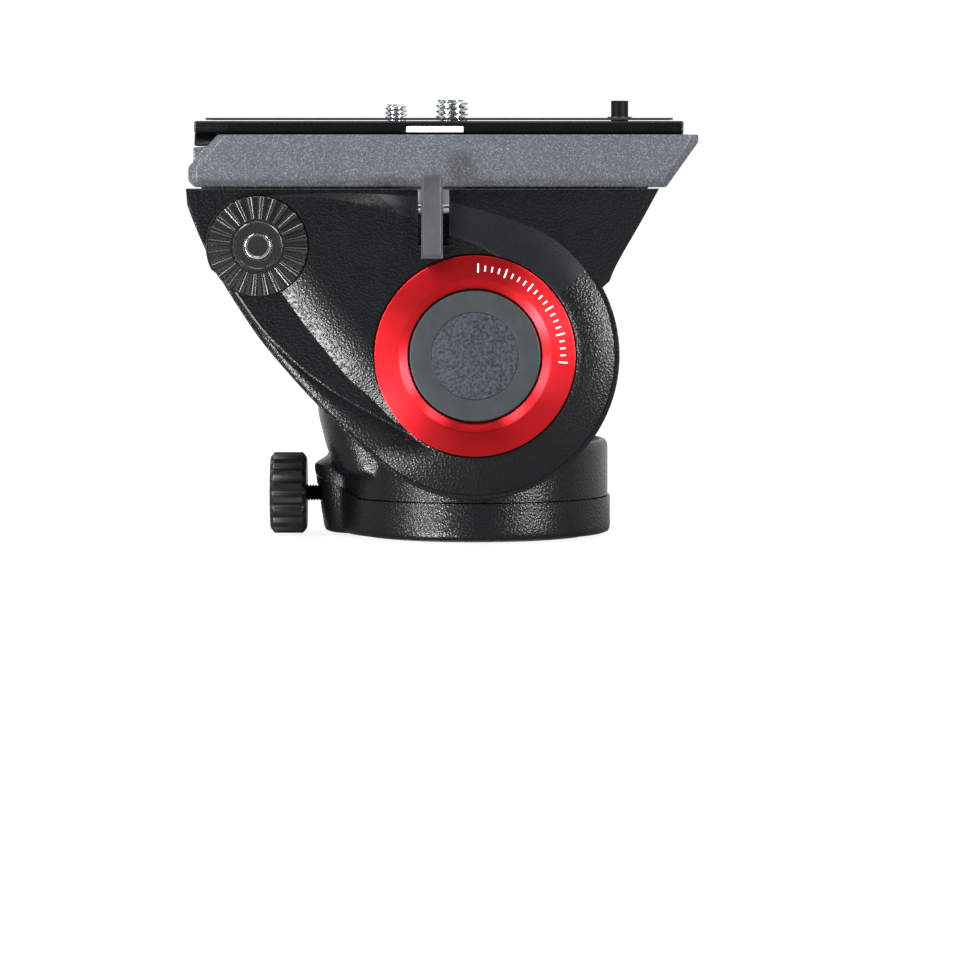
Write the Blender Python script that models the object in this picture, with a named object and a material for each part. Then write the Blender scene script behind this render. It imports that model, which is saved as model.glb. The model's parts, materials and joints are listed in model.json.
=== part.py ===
"""Fluid video head for a camera: turning base, tilting cradle, drag units and a sliding camera plate.

Metres, +Z up. +X is the lens side. The pan axis is the Z axis, and the underside of the base is at Z = 0.
"""

import math

import bmesh
import bpy
from mathutils import Matrix, Vector

MM = 0.001

# Fits and drawing steps shared by the whole head
SEAT = 0.3 * MM
RUNNING = 0.6 * MM
OVERRUN = 4.0 * MM
WIDE_STEPS = 42
ROUND_STEPS = 30
SMALL_STEPS = 12
HEX_SIDES = 6
SMOOTH_EDGE_DEGREES = 32.0

# Depths from the middle plane out to the cheeks' raised faces
drum_half_width = 38.0 * MM
cheek_gap = 1.6 * MM
cheek_inner = drum_half_width + cheek_gap
cheek_plate = 2.6 * MM
cheek_base = cheek_inner + cheek_plate
cheek_relief = 3.2 * MM
cheek_face = cheek_base + cheek_relief

# Round pan housing and the skirt below its seam
housing_clearance = 0.8 * MM
housing_radius = cheek_inner - housing_clearance
housing_wall = 7.8 * MM
housing_bore_radius = housing_radius - housing_wall
skirt_lip = 0.7 * MM
skirt_radius = housing_radius + skirt_lip
skirt_wall = 4.8 * MM
skirt_inner = skirt_radius - skirt_wall
base_gap = 0.7 * MM
base_radius = skirt_inner - base_gap
boss_radius = 41.0 * MM
drum_radius = boss_radius - 5.0 * MM

# Base
base_height = 4.5 * MM
base_edge = 0.8 * MM
hub_radius = 22.0 * MM
hub_height = 19.0 * MM
bush_radius = 8.0 * MM
bush_height = 12.0 * MM
tripod_thread_radius = 4.76 * MM
tripod_thread_depth = 9.5 * MM
spindle_radius = 6.0 * MM
spindle_flange_radius = 12.0 * MM
spindle_flange_height = 2.0 * MM
thrust_washer_height = 1.0 * MM
nut_radius = 8.0 * MM
nut_height = 4.0 * MM
nut_washer_radius = 11.0 * MM
nut_washer_height = 1.0 * MM

# Pan housing
skirt_bottom = 0.7 * MM
skirt_height = 10.7 * MM
skirt_edge = 1.0 * MM
housing_ledge_z = 28.0 * MM
housing_edge = 1.6 * MM
rounding_share = 0.3
pan_bush_wall = 2.5 * MM
pan_bush_height = 7.6 * MM
pan_boss_reach = (housing_radius + boss_radius) / 2 + 7.3 * MM
pan_boss_foot_reach = pan_boss_reach - 3.3 * MM
pan_boss_top_z = 20.6 * MM
pan_boss_half_width = 15.0 * MM
pan_boss_top_half_width = 9.0 * MM
pan_boss_slope = 3.2 * MM
seam_root_x = 5.8 * MM - housing_radius
seam_tip_x = -0.8 * MM - pan_boss_reach
seam_rise = 6.4 * MM
neck_half_width = 27.0 * MM
bubble_radius = 5.2 * MM
bubble_depth = 3.4 * MM
bubble_wall = 0.8 * MM
bubble_x = 30.9 * MM

# Pan lock
lock_z = 12.0 * MM
lock_screw_radius = 2.4 * MM
lock_knob_radius = 11.8 * MM
lock_knob_length = 10.6 * MM
lock_knob_gap = 1.8 * MM
lock_knob_edge = 1.2 * MM
knob_ribs = 18
knob_groove = 0.7 * MM
shoe_length = 15.4 * MM
shoe_gap = 0.9 * MM
shoe_travel = 0.5 * MM
shoe_half_width = 6.0 * MM
shoe_half_height = 4.0 * MM

# Tilt axis, drum and what turns in it
tilt_z = 53.8 * MM
axle_radius = 6.0 * MM
axle_half_length = drum_half_width + 4.0 * MM
tilt_bush_wall = 2.4 * MM
drum_web_half = 14.0 * MM
drum_well_radius = drum_radius - 12.0 * MM
stator_wall = 3.4 * MM
stator_length = drum_half_width - drum_web_half - 2.0 * MM
rotor_length = stator_length - 7.0 * MM
spring_radius = drum_well_radius - 5.5 * MM
spring_wire_radius = 1.5 * MM
spring_turns = 5
spring_pitch = (drum_half_width - drum_web_half - 5.5 * MM) / spring_turns
spring_steps_per_turn = 12
spring_wire_sides = 5

# Cheeks
cheek_top_share = 1.15122
cheek_top_z = tilt_z + boss_radius * cheek_top_share
cheek_edge = 0.7 * MM
cheek_step = 0.5 * MM
cheek_crease_drop = 1.1 * MM
head_flange_inner = cheek_inner - 6.0 * MM
head_flange_depth = 7.0 * MM
ring_radius = boss_radius - 12.6 * MM
ring_inner_radius = ring_radius - 9.4 * MM
ring_flat_radius = ring_radius - 6.8 * MM
ring_proud = 1.3 * MM
ring_seat_depth = 1.6 * MM
ring_bevel_drop = 1.3 * MM
cap_radius = ring_inner_radius - 0.5 * MM
cap_edge = 0.6 * MM
inlay_radius = cap_radius - 6.2 * MM
inlay_height = 0.8 * MM

# Rosettes for the pan bar
rosette_share = (-1.495, 0.756)
rosette_x = boss_radius * rosette_share[0]
rosette_z = tilt_z + boss_radius * rosette_share[1]
rosette_radius = 14.1 * MM
rosette_face = cheek_face + 0.8 * MM
rosette_teeth = 24
rosette_tooth_height = 1.0 * MM
rosette_boss_radius = 7.2 * MM
rosette_boss_drop = 0.2 * MM
rosette_bush_radius = 3.7 * MM
rosette_thread_radius = 2.7 * MM
rosette_bush_flush = 0.4 * MM

# Platform
platform_half_width = cheek_inner - 2.6 * MM
platform_bottom_z = cheek_top_z + SEAT
platform_floor_z = platform_bottom_z + 11.3 * MM
platform_top_z = platform_bottom_z + 14.9 * MM
platform_pocket_z = platform_bottom_z + 6.7 * MM
platform_pocket_half_width = platform_half_width - 9.0 * MM
rail_bevel = 2.6 * MM
rail_bevel_depth = 1.8 * MM
rail_rear_share = -1.985
rail_front_share = 1.546
rail_rear_x = boss_radius * rail_rear_share
rail_rear_top_x = rail_rear_x + 8.4 * MM
rail_rear_knee_z = platform_bottom_z + 5.7 * MM
rail_front_x = boss_radius * rail_front_share
rail_front_knee_z = platform_bottom_z + 12.8 * MM
rail_front_bottom_x = rail_front_x - 9.1 * MM
platform_core_half_width = platform_half_width - 7.0 * MM
platform_end_wall = 6.0 * MM

# Camera plate
plate_rear_x = rail_rear_x + 1.2 * MM
plate_front_x = rail_front_x - 3.8 * MM
plate_half_width = platform_half_width - 12.0 * MM
plate_neck_half_width = plate_half_width - 2.6 * MM
plate_bottom_z = platform_floor_z + SEAT
plate_neck_z = plate_bottom_z + 3.5 * MM
plate_flange_z = plate_bottom_z + 4.3 * MM
plate_top_z = plate_bottom_z + 7.2 * MM
plate_edge = 0.5 * MM
plate_gap = 0.45 * MM
plate_deck = 1.9 * MM
plate_pocket_half_width = 9.6 * MM
plate_slot_half_width = 5.2 * MM
plate_slot_rear_x = -48.0 * MM
plate_slot_front_x = 27.0 * MM
plate_pocket_margin = 4.0 * MM
pad_rear_x = plate_rear_x + 2.9 * MM
pad_front_x = plate_front_x - 2.8 * MM
pad_half_width = plate_half_width - 3.5 * MM
pad_height = 0.6 * MM
pad_corner = 3.0 * MM
insert_rear_x = -20.0 * MM
insert_front_x = -2.9 * MM
insert_bottom_z = plate_top_z - 3.5 * MM
insert_top_z = plate_top_z - 1.2 * MM
insert_depth = 2.8 * MM

# Camera screws and the anti-twist pin
small_screw_x = -22.9 * MM
small_screw_radius = 3.175 * MM
small_screw_top_z = plate_top_z + 4.8 * MM
large_screw_x = -6.6 * MM
large_screw_radius = 4.76 * MM
large_screw_top_z = plate_top_z + 6.1 * MM
screw_head_height = 3.0 * MM
screw_head_radius = 7.2 * MM
screw_slot_width = 1.4 * MM
screw_slot_depth = 1.1 * MM
screw_tip_edge = 0.6 * MM
slider_half_length = 7.4 * MM
slider_height = 1.1 * MM
pin_x = 42.0 * MM
pin_radius = 2.5 * MM
pin_top_z = plate_top_z + 5.9 * MM
pin_collar_radius = 3.6 * MM
pin_collar_height = 0.9 * MM
pin_bush_radius = 3.9 * MM
pin_bush_height = 1.0 * MM
pin_seat_z = plate_top_z - 1.7 * MM

# Plate lever, jaw and safety catch
lever_x = -12.1 * MM
lever_half_width = 3.05 * MM
lever_thickness = 2.7 * MM
lever_face = cheek_face + 4.5 * MM
lever_top_z = cheek_top_z + 4.2 * MM
lever_bottom_z = cheek_top_z - 19.6 * MM
lever_corner = 1.2 * MM
lever_edge = 0.7 * MM
lever_pin_z = cheek_top_z - 5.5 * MM
lever_pin_radius = 1.2 * MM
lever_pin_depth = cheek_base - 0.8 * MM
lever_pin_half_length = 6.0 * MM
lever_eye_radius = 2.1 * MM
slot_x = -11.7 * MM
slot_half_width = 4.4 * MM
slot_bottom_z = cheek_top_z - 16.2 * MM
slot_floor = cheek_inner - RUNNING
jaw_half_length = 9.0 * MM
jaw_leg = 3.1 * MM
jaw_slide_room = 0.9 * MM
jaw_leg_face = head_flange_inner - jaw_leg - jaw_slide_room
jaw_shoulder_z = plate_bottom_z - 3.9 * MM
jaw_foot_z = cheek_top_z - 6.5 * MM
jaw_stem_radius = 1.6 * MM
jaw_stem_z = cheek_top_z - 3.4 * MM
jaw_stem_gap = 0.6 * MM
jaw_gap = 0.6 * MM
catch_x = -30.0 * MM
catch_radius = 3.2 * MM
catch_proud = 2.2 * MM
catch_flange_radius = 4.2 * MM
catch_z = platform_bottom_z + 6.3 * MM
catch_wall = 2.4 * MM
catch_flange_height = 1.2 * MM
catch_tail = 2.0 * MM

# Tilt lock on the far side
tilt_disc_height = 2.0 * MM
tilt_lever_hub_radius = 15.0 * MM
tilt_lever_hub_height = 9.0 * MM
tilt_lever_root_half_width = 8.2 * MM
tilt_lever_length = 46.0 * MM
tilt_lever_end_radius = 5.5 * MM
tilt_lever_thickness = 5.0 * MM
tilt_lever_edge = 0.8 * MM
tilt_lever_degrees = 200.0
tilt_screw_radius = 3.0 * MM
tilt_screw_length = 12.0 * MM

# Outlines of the cheek and its raised arm, as shares of the boss radius measured from the tilt axis.
# The silhouette's rear edge runs from the boss up to the cheek's top corner.
rear_edge_shares = (
    (-0.82, -0.61), (-1.12, -0.31), (-1.31, -0.10), (-1.48, 0.105), (-1.62, 0.31),
    (-1.75, 0.52), (-1.86, 0.73), (-1.945, 0.93), (rail_rear_share, 1.04),
)
front_edge_shares = ((1.27, cheek_top_share), (1.15, 0.93), (1.035, 0.73), (0.965, 0.60), (0.925, 0.50))
arm_top_outer_shares = (
    (0.20, 0.96), (-0.14, 1.05), (-0.38, 1.095), (-0.66, 1.118), (-0.95, 1.125), (-1.22, 1.125),
    (-1.49, 1.11),
)
arm_top_inner_shares = (
    (0.21, 0.665), (0.03, 0.77), (-0.17, 0.85), (-0.52, 0.99), (-0.80, 1.05), (-1.10, 1.095), (-1.42, 1.09),
)
arm_low_outer_shares = (
    (-1.765, 0.57), (-1.595, 0.31), (-1.455, 0.105), (-1.285, -0.10), (-1.09, -0.31), (-0.89, -0.51),
    (-0.69, -0.69),
)
arm_low_inner_shares = (
    (-1.66, 0.44), (-1.49, 0.20), (-1.34, 0.04), (-1.20, -0.09), (-1.00, -0.24), (-0.78, -0.37),
    (-0.43, -0.56),
)
crease_shares = (
    (-1.40, 0.53), (-1.28, 0.36), (-1.15, 0.18), (-1.02, 0.02), (-0.88, -0.15), (-0.72, -0.29),
    (-0.53, -0.47),
)
boss_arc_degrees = (222, 388)
arm_rim_degrees = (-137, 76)
arm_inner_rim_degrees = (-126, 71)
arm_rosette_degrees = (95, 206)
arm_inner_rosette_degrees = (84, 236)
BOSS_ARC_POINTS = 26
EDGE_POINTS = 9
CORNER_POINTS = 4
EYE_POINTS = 13
ROSETTE_ARC_POINTS = 8

# The neck between the round base and the drum: its side view and how full it is across its width
neck_outline_shares = (
    (-0.55, -0.86), (-0.93, -0.86), (-1.03, -0.74), (-1.08, -0.58), (-1.115, -0.40),
    (-1.09, -0.20), (-1.00, -0.02), (-0.86, 0.12), (-0.55, 0.12),
)
neck_width_shares = (-1.0, -0.97, -0.88, -0.72, -0.45, 0.0, 0.45, 0.72, 0.88, 0.97, 1.0)
neck_least_fullness = 0.3
neck_roundness = 3
tongue_shares = ((0.0, 1.0), (0.45, 0.97), (0.78, 0.80), (0.94, 0.50), (1.0, 0.0))
rib_depth_shares = (0.0, 0.0, 0.85, 1.0, 0.85)
tooth_shares = ((0.0, 0.0), (0.30, 0.0), (0.42, 1.0), (0.88, 1.0))


def clear_scene():
    for obj in list(bpy.data.objects):
        bpy.data.objects.remove(obj, do_unlink=True)


def material(name, colour, roughness, metallic):
    made = bpy.data.materials.new(name)
    made.use_nodes = True
    shader = made.node_tree.nodes["Principled BSDF"]
    shader.inputs["Base Color"].default_value = (*colour, 1.0)
    shader.inputs["Roughness"].default_value = roughness
    shader.inputs["Metallic"].default_value = metallic
    made.diffuse_color = (*colour, 1.0)
    return made


def object_from(name, points, faces, finish=None, angle=math.radians(SMOOTH_EDGE_DEGREES)):
    """One mesh object, with its faces turned outwards and its round sides shaded smooth."""
    mesh = bpy.data.meshes.new(name)
    shape = bmesh.new()
    corners = [shape.verts.new(point) for point in points]
    for face in faces:
        shape.faces.new([corners[index] for index in face])
    bmesh.ops.recalc_face_normals(shape, faces=shape.faces)
    shape.to_mesh(mesh)
    shape.free()
    mesh.shade_smooth()
    mesh.set_sharp_from_angle(angle=angle)
    made = bpy.data.objects.new(name, mesh)
    bpy.context.scene.collection.objects.link(made)
    if finish:
        mesh.materials.append(finish)
    return made


def cutter(obj):
    obj.hide_render = True
    obj.display_type = "WIRE"
    return obj


def combine(target, others, operation):
    """One Boolean of the target with all the others together. Helpers used so are hidden."""
    group = bpy.data.collections.new(f"{target.name}_{operation.lower()}")
    bpy.context.scene.collection.children.link(group)
    for other in others:
        group.objects.link(cutter(other))
    change = target.modifiers.new(operation.title(), "BOOLEAN")
    change.operation = operation
    change.solver = "EXACT"
    change.operand_type = "COLLECTION"
    change.collection = group
    return target


def cut(target, *others):
    return combine(target, others, "DIFFERENCE")


def join(target, *others):
    return combine(target, others, "UNION")


def turned(name, profile, finish=None, steps=ROUND_STEPS):
    """A solid of revolution about Z through a closed profile of (radius, height), radius zero on the axis."""
    points = []
    rings = []
    for radius, height in profile:
        if radius == 0:
            rings.append([len(points)] * steps)
            points.append((0, 0, height))
            continue
        rings.append(list(range(len(points), len(points) + steps)))
        for step in range(steps):
            angle = math.tau * step / steps
            points.append((radius * math.cos(angle), radius * math.sin(angle), height))
    faces = []
    for low, high in zip(rings, rings[1:] + rings[:1]):
        for step in range(steps):
            after = (step + 1) % steps
            corners = list(dict.fromkeys((low[step], low[after], high[after], high[step])))
            if len(corners) > 2:
                faces.append(corners)
    return object_from(name, points, faces, finish)


def disc_profile(radius, low, high, edge=0.0):
    """A solid disc whose two rims have a chamfer."""
    if edge == 0:
        return [(0, low), (radius, low), (radius, high), (0, high)]
    return [(0, low), (radius - edge, low), (radius, low + edge), (radius, high - edge),
            (radius - edge, high),
            (0, high)]


def tube_profile(inner, outer, low, high, edge=0.0):
    if edge == 0:
        return [(inner, low), (outer, low), (outer, high), (inner, high)]
    return [(inner, low), (outer - edge, low), (outer, low + edge), (outer, high - edge),
            (outer - edge, high),
            (inner, high)]


def lofted(name, loops, finish=None):
    """A solid through closed loops of as many points each, capped at the first and the last."""
    count = len(loops[0])
    points = [point for loop in loops for point in loop]
    faces = [list(range(count)), list(range(len(points) - count, len(points)))]
    for row in range(len(loops) - 1):
        for index in range(count):
            after = (index + 1) % count
            low, high = row * count, (row + 1) * count
            faces.append([low + index, low + after, high + after, high + index])
    return object_from(name, points, faces, finish)


def box(name, low, high, finish=None):
    (x0, y0, z0), (x1, y1, z1) = low, high
    loops = [[(x0, y0, z), (x1, y0, z), (x1, y1, z), (x0, y1, z)] for z in (z0, z1)]
    return lofted(name, loops, finish)


def along_y(outline, y):
    """An outline of (x, z) set at one y."""
    return [(x, y, z) for x, z in outline]


def along_x(outline, x):
    return [(x, y, z) for y, z in outline]


def along_z(outline, z):
    return [(x, y, z) for x, y in outline]


def arc(centre, radius, ends, count):
    """Points on an arc between two ends in degrees, with both of them."""
    start, end = ends
    turns = [math.radians(start + (end - start) * step / (count - 1)) for step in range(count)]
    return [(centre[0] + radius * math.cos(turn), centre[1] + radius * math.sin(turn)) for turn in turns]


def slot_outline(x0, x1, half_width, count=EDGE_POINTS):
    """A long hole with round ends, along X."""
    front = arc((x1 - half_width, 0), half_width, (-90, 90), count)
    return front + arc((x0 + half_width, 0), half_width, (90, 270), count)


def rounded_rectangle(x0, x1, y0, y1, corner, count=CORNER_POINTS):
    outline = []
    for cx, cy, start in ((x1, y0, -90), (x1, y1, 0), (x0, y1, 90), (x0, y0, 180)):
        inward_x = cx - corner if cx == x1 else cx + corner
        inward_y = cy - corner if cy == y1 else cy + corner
        outline += arc((inward_x, inward_y), corner, (start, start + 90), count)
    return outline


def inset(outline, distance):
    """The outline moved inwards. It runs anticlockwise."""
    moved = []
    count = len(outline)
    for index in range(count):
        before, here, after = (Vector(outline[(index + step) % count]) for step in (-1, 0, 1))
        first = (here - before).normalized()
        second = (after - here).normalized()
        normal = Vector((-first.y - second.y, first.x + second.x)).normalized()
        stretch = max(0.5, normal.dot(Vector((-first.y, first.x))))
        moved.append(tuple(here + normal * distance / stretch))
    return moved


def from_shares(shares):
    """Points given as shares of the boss radius about the tilt axis."""
    return [(x * boss_radius, tilt_z + z * boss_radius) for x, z in shares]


def smooth_through(points, count):
    """Evenly spaced points on a smooth curve through the given ones."""
    ends = [2 * Vector(points[0]) - Vector(points[1]), 2 * Vector(points[-1]) - Vector(points[-2])]
    knots = [ends[0], *map(Vector, points), ends[1]]
    spans = len(points) - 1
    found = []
    for step in range(count):
        place = spans * step / (count - 1)
        span = min(int(place), spans - 1)
        t = place - span
        a, b, c, d = knots[span : span + 4]
        curve = 2 * b + (c - a) * t + (2 * a - 5 * b + 4 * c - d) * t**2 + (3 * b - a - 3 * c + d) * t**3
        found.append(tuple(curve / 2))
    return found


def turn(obj, axis, degrees, place=(0, 0, 0)):
    """Turns and moves the mesh itself, so that helpers keep a plain object."""
    obj.data.transform(Matrix.Translation(place) @ Matrix.Rotation(math.radians(degrees), 4, axis))
    return obj


def moved(obj, x, y, z):
    obj.data.transform(Matrix.Translation((x, y, z)))
    return obj


def facing_y(obj, side, x=0.0, z=None):
    """A piece turned about Z is laid on the Y axis: its +Z then points out of the chosen side."""
    return turn(obj, "X", -90 * side, (x, 0, tilt_z if z is None else z))


def pivot(obj, place):
    """Moves the object's origin to its joint's axis without moving its mesh in space."""
    obj.data.transform(Matrix.Translation(-Vector(place)))
    obj.location = place
    return obj


def make_finishes():
    return {
        "black": material("black_casting", (0.018, 0.018, 0.020), 0.45, 0.0),
        "grey": material("grey_casting", (0.13, 0.135, 0.145), 0.42, 0.35),
        "red": material("red_anodised", (0.52, 0.008, 0.012), 0.30, 0.7),
        "cap": material("charcoal_plastic", (0.035, 0.040, 0.045), 0.55, 0.0),
        "steel": material("zinc_steel", (0.62, 0.64, 0.66), 0.28, 1.0),
        "bronze": material("bronze", (0.55, 0.36, 0.16), 0.35, 1.0),
        "alloy": material("machined_alloy", (0.72, 0.73, 0.74), 0.32, 1.0),
        "lever": material("lever_alloy", (0.36, 0.37, 0.38), 0.36, 0.8),
        "plastic": material("black_plastic", (0.015, 0.016, 0.018), 0.40, 0.0),
        "rubber": material("black_rubber", (0.02, 0.02, 0.021), 0.85, 0.0),
        "pale": material("pale_plastic", (0.88, 0.88, 0.87), 0.45, 0.0),
        "liquid": material("level_liquid", (0.62, 0.80, 0.22), 0.08, 0.0),
        "friction": material("friction_lining", (0.20, 0.15, 0.11), 0.75, 0.0),
    }


def make_base(finish):
    seat = bush_radius + SEAT
    shaft = spindle_radius + SEAT
    floor = bush_height + SEAT
    turned("base_plate", [
        (seat, 0), (base_radius - base_edge, 0), (base_radius, base_edge),
        (base_radius, base_height - base_edge),
        (base_radius - base_edge, base_height), (hub_radius, base_height),
        (hub_radius, hub_height - base_edge),
        (hub_radius - base_edge, hub_height), (shaft, hub_height), (shaft, floor), (seat, floor),
    ], finish["alloy"])
    turned("tripod_thread_bush", [
        (tripod_thread_radius, SEAT), (bush_radius, SEAT), (bush_radius, bush_height), (0, bush_height),
        (0, tripod_thread_depth), (tripod_thread_radius, tripod_thread_depth),
    ], finish["steel"], SMALL_STEPS)
    flange_low = hub_height + SEAT
    flange_high = flange_low + spindle_flange_height
    washer_low = flange_high + SEAT
    web_low = washer_low + thrust_washer_height + SEAT
    bush_low = web_low + SEAT
    nut_washer_low = bush_low + pan_bush_height + SEAT
    nut_low = nut_washer_low + nut_washer_height + SEAT
    nut_high = nut_low + nut_height
    turned("pan_spindle", [
        (0, floor), (spindle_radius, floor), (spindle_radius, flange_low),
        (spindle_flange_radius, flange_low),
        (spindle_flange_radius, flange_high), (spindle_radius, flange_high), (spindle_radius, nut_high),
        (0, nut_high),
    ], finish["steel"], SMALL_STEPS)
    turned("pan_thrust_washer", tube_profile(shaft, spindle_flange_radius, washer_low, web_low - SEAT),
           finish["friction"], SMALL_STEPS)
    turned("pan_bush",
           tube_profile(shaft, spindle_radius + pan_bush_wall, bush_low, bush_low + pan_bush_height),
           finish["bronze"], SMALL_STEPS)
    turned("spindle_washer",
           tube_profile(shaft, nut_washer_radius, nut_washer_low, nut_washer_low + nut_washer_height),
           finish["steel"], SMALL_STEPS)
    nut = turned("spindle_nut", disc_profile(nut_radius, nut_low, nut_high), finish["steel"], HEX_SIDES)
    bore = turned("nut_bore", disc_profile(shaft, nut_low - OVERRUN, nut_high + OVERRUN), None, SMALL_STEPS)
    cut(nut, bore)
    return web_low, nut_washer_low, nut_high


def smooth_tongue(reach, half_width, inner):
    """Plan of the pan lock boss: a tongue towards the rear with a round end."""
    span = reach + inner
    upper = [(inner - span * along, half_width * across) for along, across in tongue_shares]
    upper = smooth_through(upper, EDGE_POINTS)
    lower = [(x, -y) for x, y in reversed(upper[:-1])]
    return upper + lower


def pan_boss(name):
    """The boss that carries the pan lock screw, from the foot of the skirt up to its sloping top."""
    root = -(housing_bore_radius + SEAT)
    middle_half_width = (pan_boss_half_width + pan_boss_top_half_width) / 2
    sections = (
        (skirt_bottom, pan_boss_foot_reach - skirt_edge, pan_boss_half_width - skirt_edge),
        (skirt_bottom + skirt_edge, pan_boss_foot_reach, pan_boss_half_width),
        (pan_boss_top_z, pan_boss_reach, middle_half_width),
        (pan_boss_top_z + pan_boss_slope, housing_radius + pan_boss_slope, pan_boss_top_half_width),
    )
    return lofted(name, [along_z(smooth_tongue(reach, width, root), z) for z, reach, width in sections])


def seam_block(name, lift, above):
    """All that lies above or below the seam, which runs level round the base and climbs along the boss."""
    seam = skirt_bottom + skirt_height + lift
    wide = skirt_radius + OVERRUN
    far = housing_ledge_z + OVERRUN if above else -OVERRUN
    outline = [(seam_tip_x, far), (wide, far), (wide, seam), (seam_root_x, seam),
               (seam_tip_x, seam + seam_rise)]
    return lofted(name, [along_y(outline, -wide), along_y(outline, wide)])


def housing_neck():
    """The rear column between the round base and the drum, rounded across its width."""
    outline = from_shares(neck_outline_shares)
    inner = outline[0][0]
    loops = []
    for share in neck_width_shares:
        fullness = max(neck_least_fullness, (1 - abs(share) ** neck_roundness) ** (1 / neck_roundness))
        loops.append(along_y([(inner + (x - inner) * fullness, z) for x, z in outline],
                             share * neck_half_width))
    return lofted("neck", loops)


def shoe_channel(name):
    end = -(hub_radius + shoe_gap + shoe_length + shoe_travel)
    return box(name, (end, -shoe_half_width - SEAT, lock_z - shoe_half_height - SEAT),
               (-hub_radius, shoe_half_width + SEAT, lock_z + shoe_half_height + SEAT))


def lock_screw_hole(name):
    hole = turned(name, disc_profile(lock_screw_radius + SEAT, hub_radius, pan_boss_reach + OVERRUN), None,
                  SMALL_STEPS)
    return turn(hole, "Y", -90, (0, 0, lock_z))


def make_housing(finish, web_low, nut_pocket_low, nut_high):
    bottom = skirt_bottom + skirt_height + SEAT
    rounding = housing_edge * rounding_share
    body = turned("pan_housing", [
        (0, skirt_bottom), (housing_radius, skirt_bottom), (housing_radius, housing_ledge_z - housing_edge),
        (housing_radius - rounding, housing_ledge_z - rounding),
        (housing_radius - housing_edge, housing_ledge_z),
        (0, housing_ledge_z),
    ], finish["black"], WIDE_STEPS)
    drum = turned("drum", disc_profile(drum_radius, -drum_half_width, drum_half_width, housing_edge), None,
                  WIDE_STEPS)
    join(body, facing_y(drum, 1), housing_neck(), pan_boss("boss"))
    bush_seat = spindle_radius + pan_bush_wall + SEAT
    nut_room = nut_washer_radius + RUNNING
    cavity = turned("cavity", [
        (0, bottom - OVERRUN), (housing_bore_radius, bottom - OVERRUN), (housing_bore_radius, web_low),
        (bush_seat, web_low), (bush_seat, nut_pocket_low - SEAT), (nut_room, nut_pocket_low - SEAT),
        (nut_room, nut_high + RUNNING), (0, nut_high + RUNNING),
    ])
    wells = []
    for side in (-1, 1):
        well = turned("well", disc_profile(drum_well_radius, drum_web_half, drum_half_width + OVERRUN))
        wells.append(facing_y(well, side))
    axle_room = turned("axle_room", disc_profile(axle_radius + tilt_bush_wall + SEAT, -drum_half_width,
                                                 drum_half_width), None, SMALL_STEPS)
    bubble_seat = turned("bubble_seat",
                         disc_profile(bubble_radius + SEAT, housing_ledge_z - bubble_depth - SEAT,
                                      housing_ledge_z + OVERRUN), None, SMALL_STEPS)
    moved(bubble_seat, bubble_x, 0, 0)
    cut(body, seam_block("seam_room", SEAT, False), cavity, *wells, facing_y(axle_room, 1),
        shoe_channel("channel"), lock_screw_hole("screw_hole"), bubble_seat)

    skirt_top = skirt_bottom + skirt_height + seam_rise
    rounding = skirt_edge * rounding_share
    skirt = turned("housing_skirt", [
        (skirt_inner, skirt_bottom), (skirt_radius - skirt_edge, skirt_bottom),
        (skirt_radius - rounding, skirt_bottom + rounding), (skirt_radius, skirt_bottom + skirt_edge),
        (skirt_radius, skirt_top), (skirt_inner, skirt_top),
    ], finish["black"], WIDE_STEPS)
    foot = pan_boss("boss_foot")
    foot_room = turned("foot_room", disc_profile(skirt_inner + RUNNING, -OVERRUN, housing_ledge_z + OVERRUN))
    join(skirt, cut(foot, foot_room))
    cut(skirt, seam_block("skirt_top_room", 0, True), shoe_channel("skirt_channel"),
        lock_screw_hole("skirt_screw_hole"))


def make_bubble(finish):
    low = housing_ledge_z - bubble_depth
    inner = bubble_radius - bubble_wall
    cup = turned("bubble_cup", [
        (0, low), (bubble_radius, low), (bubble_radius, housing_ledge_z + bubble_wall / 2),
        (inner, housing_ledge_z + bubble_wall / 2), (inner, low + bubble_wall), (0, low + bubble_wall),
    ], finish["plastic"], SMALL_STEPS)
    vial = turned("bubble_vial",
                  disc_profile(inner - SEAT, low + bubble_wall + SEAT, housing_ledge_z, bubble_wall / 2),
                  finish["liquid"], SMALL_STEPS)
    for piece in (cup, vial):
        piece.location.x = bubble_x


def ribbed_outline(radius, ribs, groove):
    """A knob's outline: shallow round grooves between flat ribs."""
    outline = []
    for step in range(ribs * len(rib_depth_shares)):
        reach = radius - groove * rib_depth_shares[step % len(rib_depth_shares)]
        angle = math.tau * step / (ribs * len(rib_depth_shares))
        outline.append((reach * math.cos(angle), reach * math.sin(angle)))
    return outline


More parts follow.
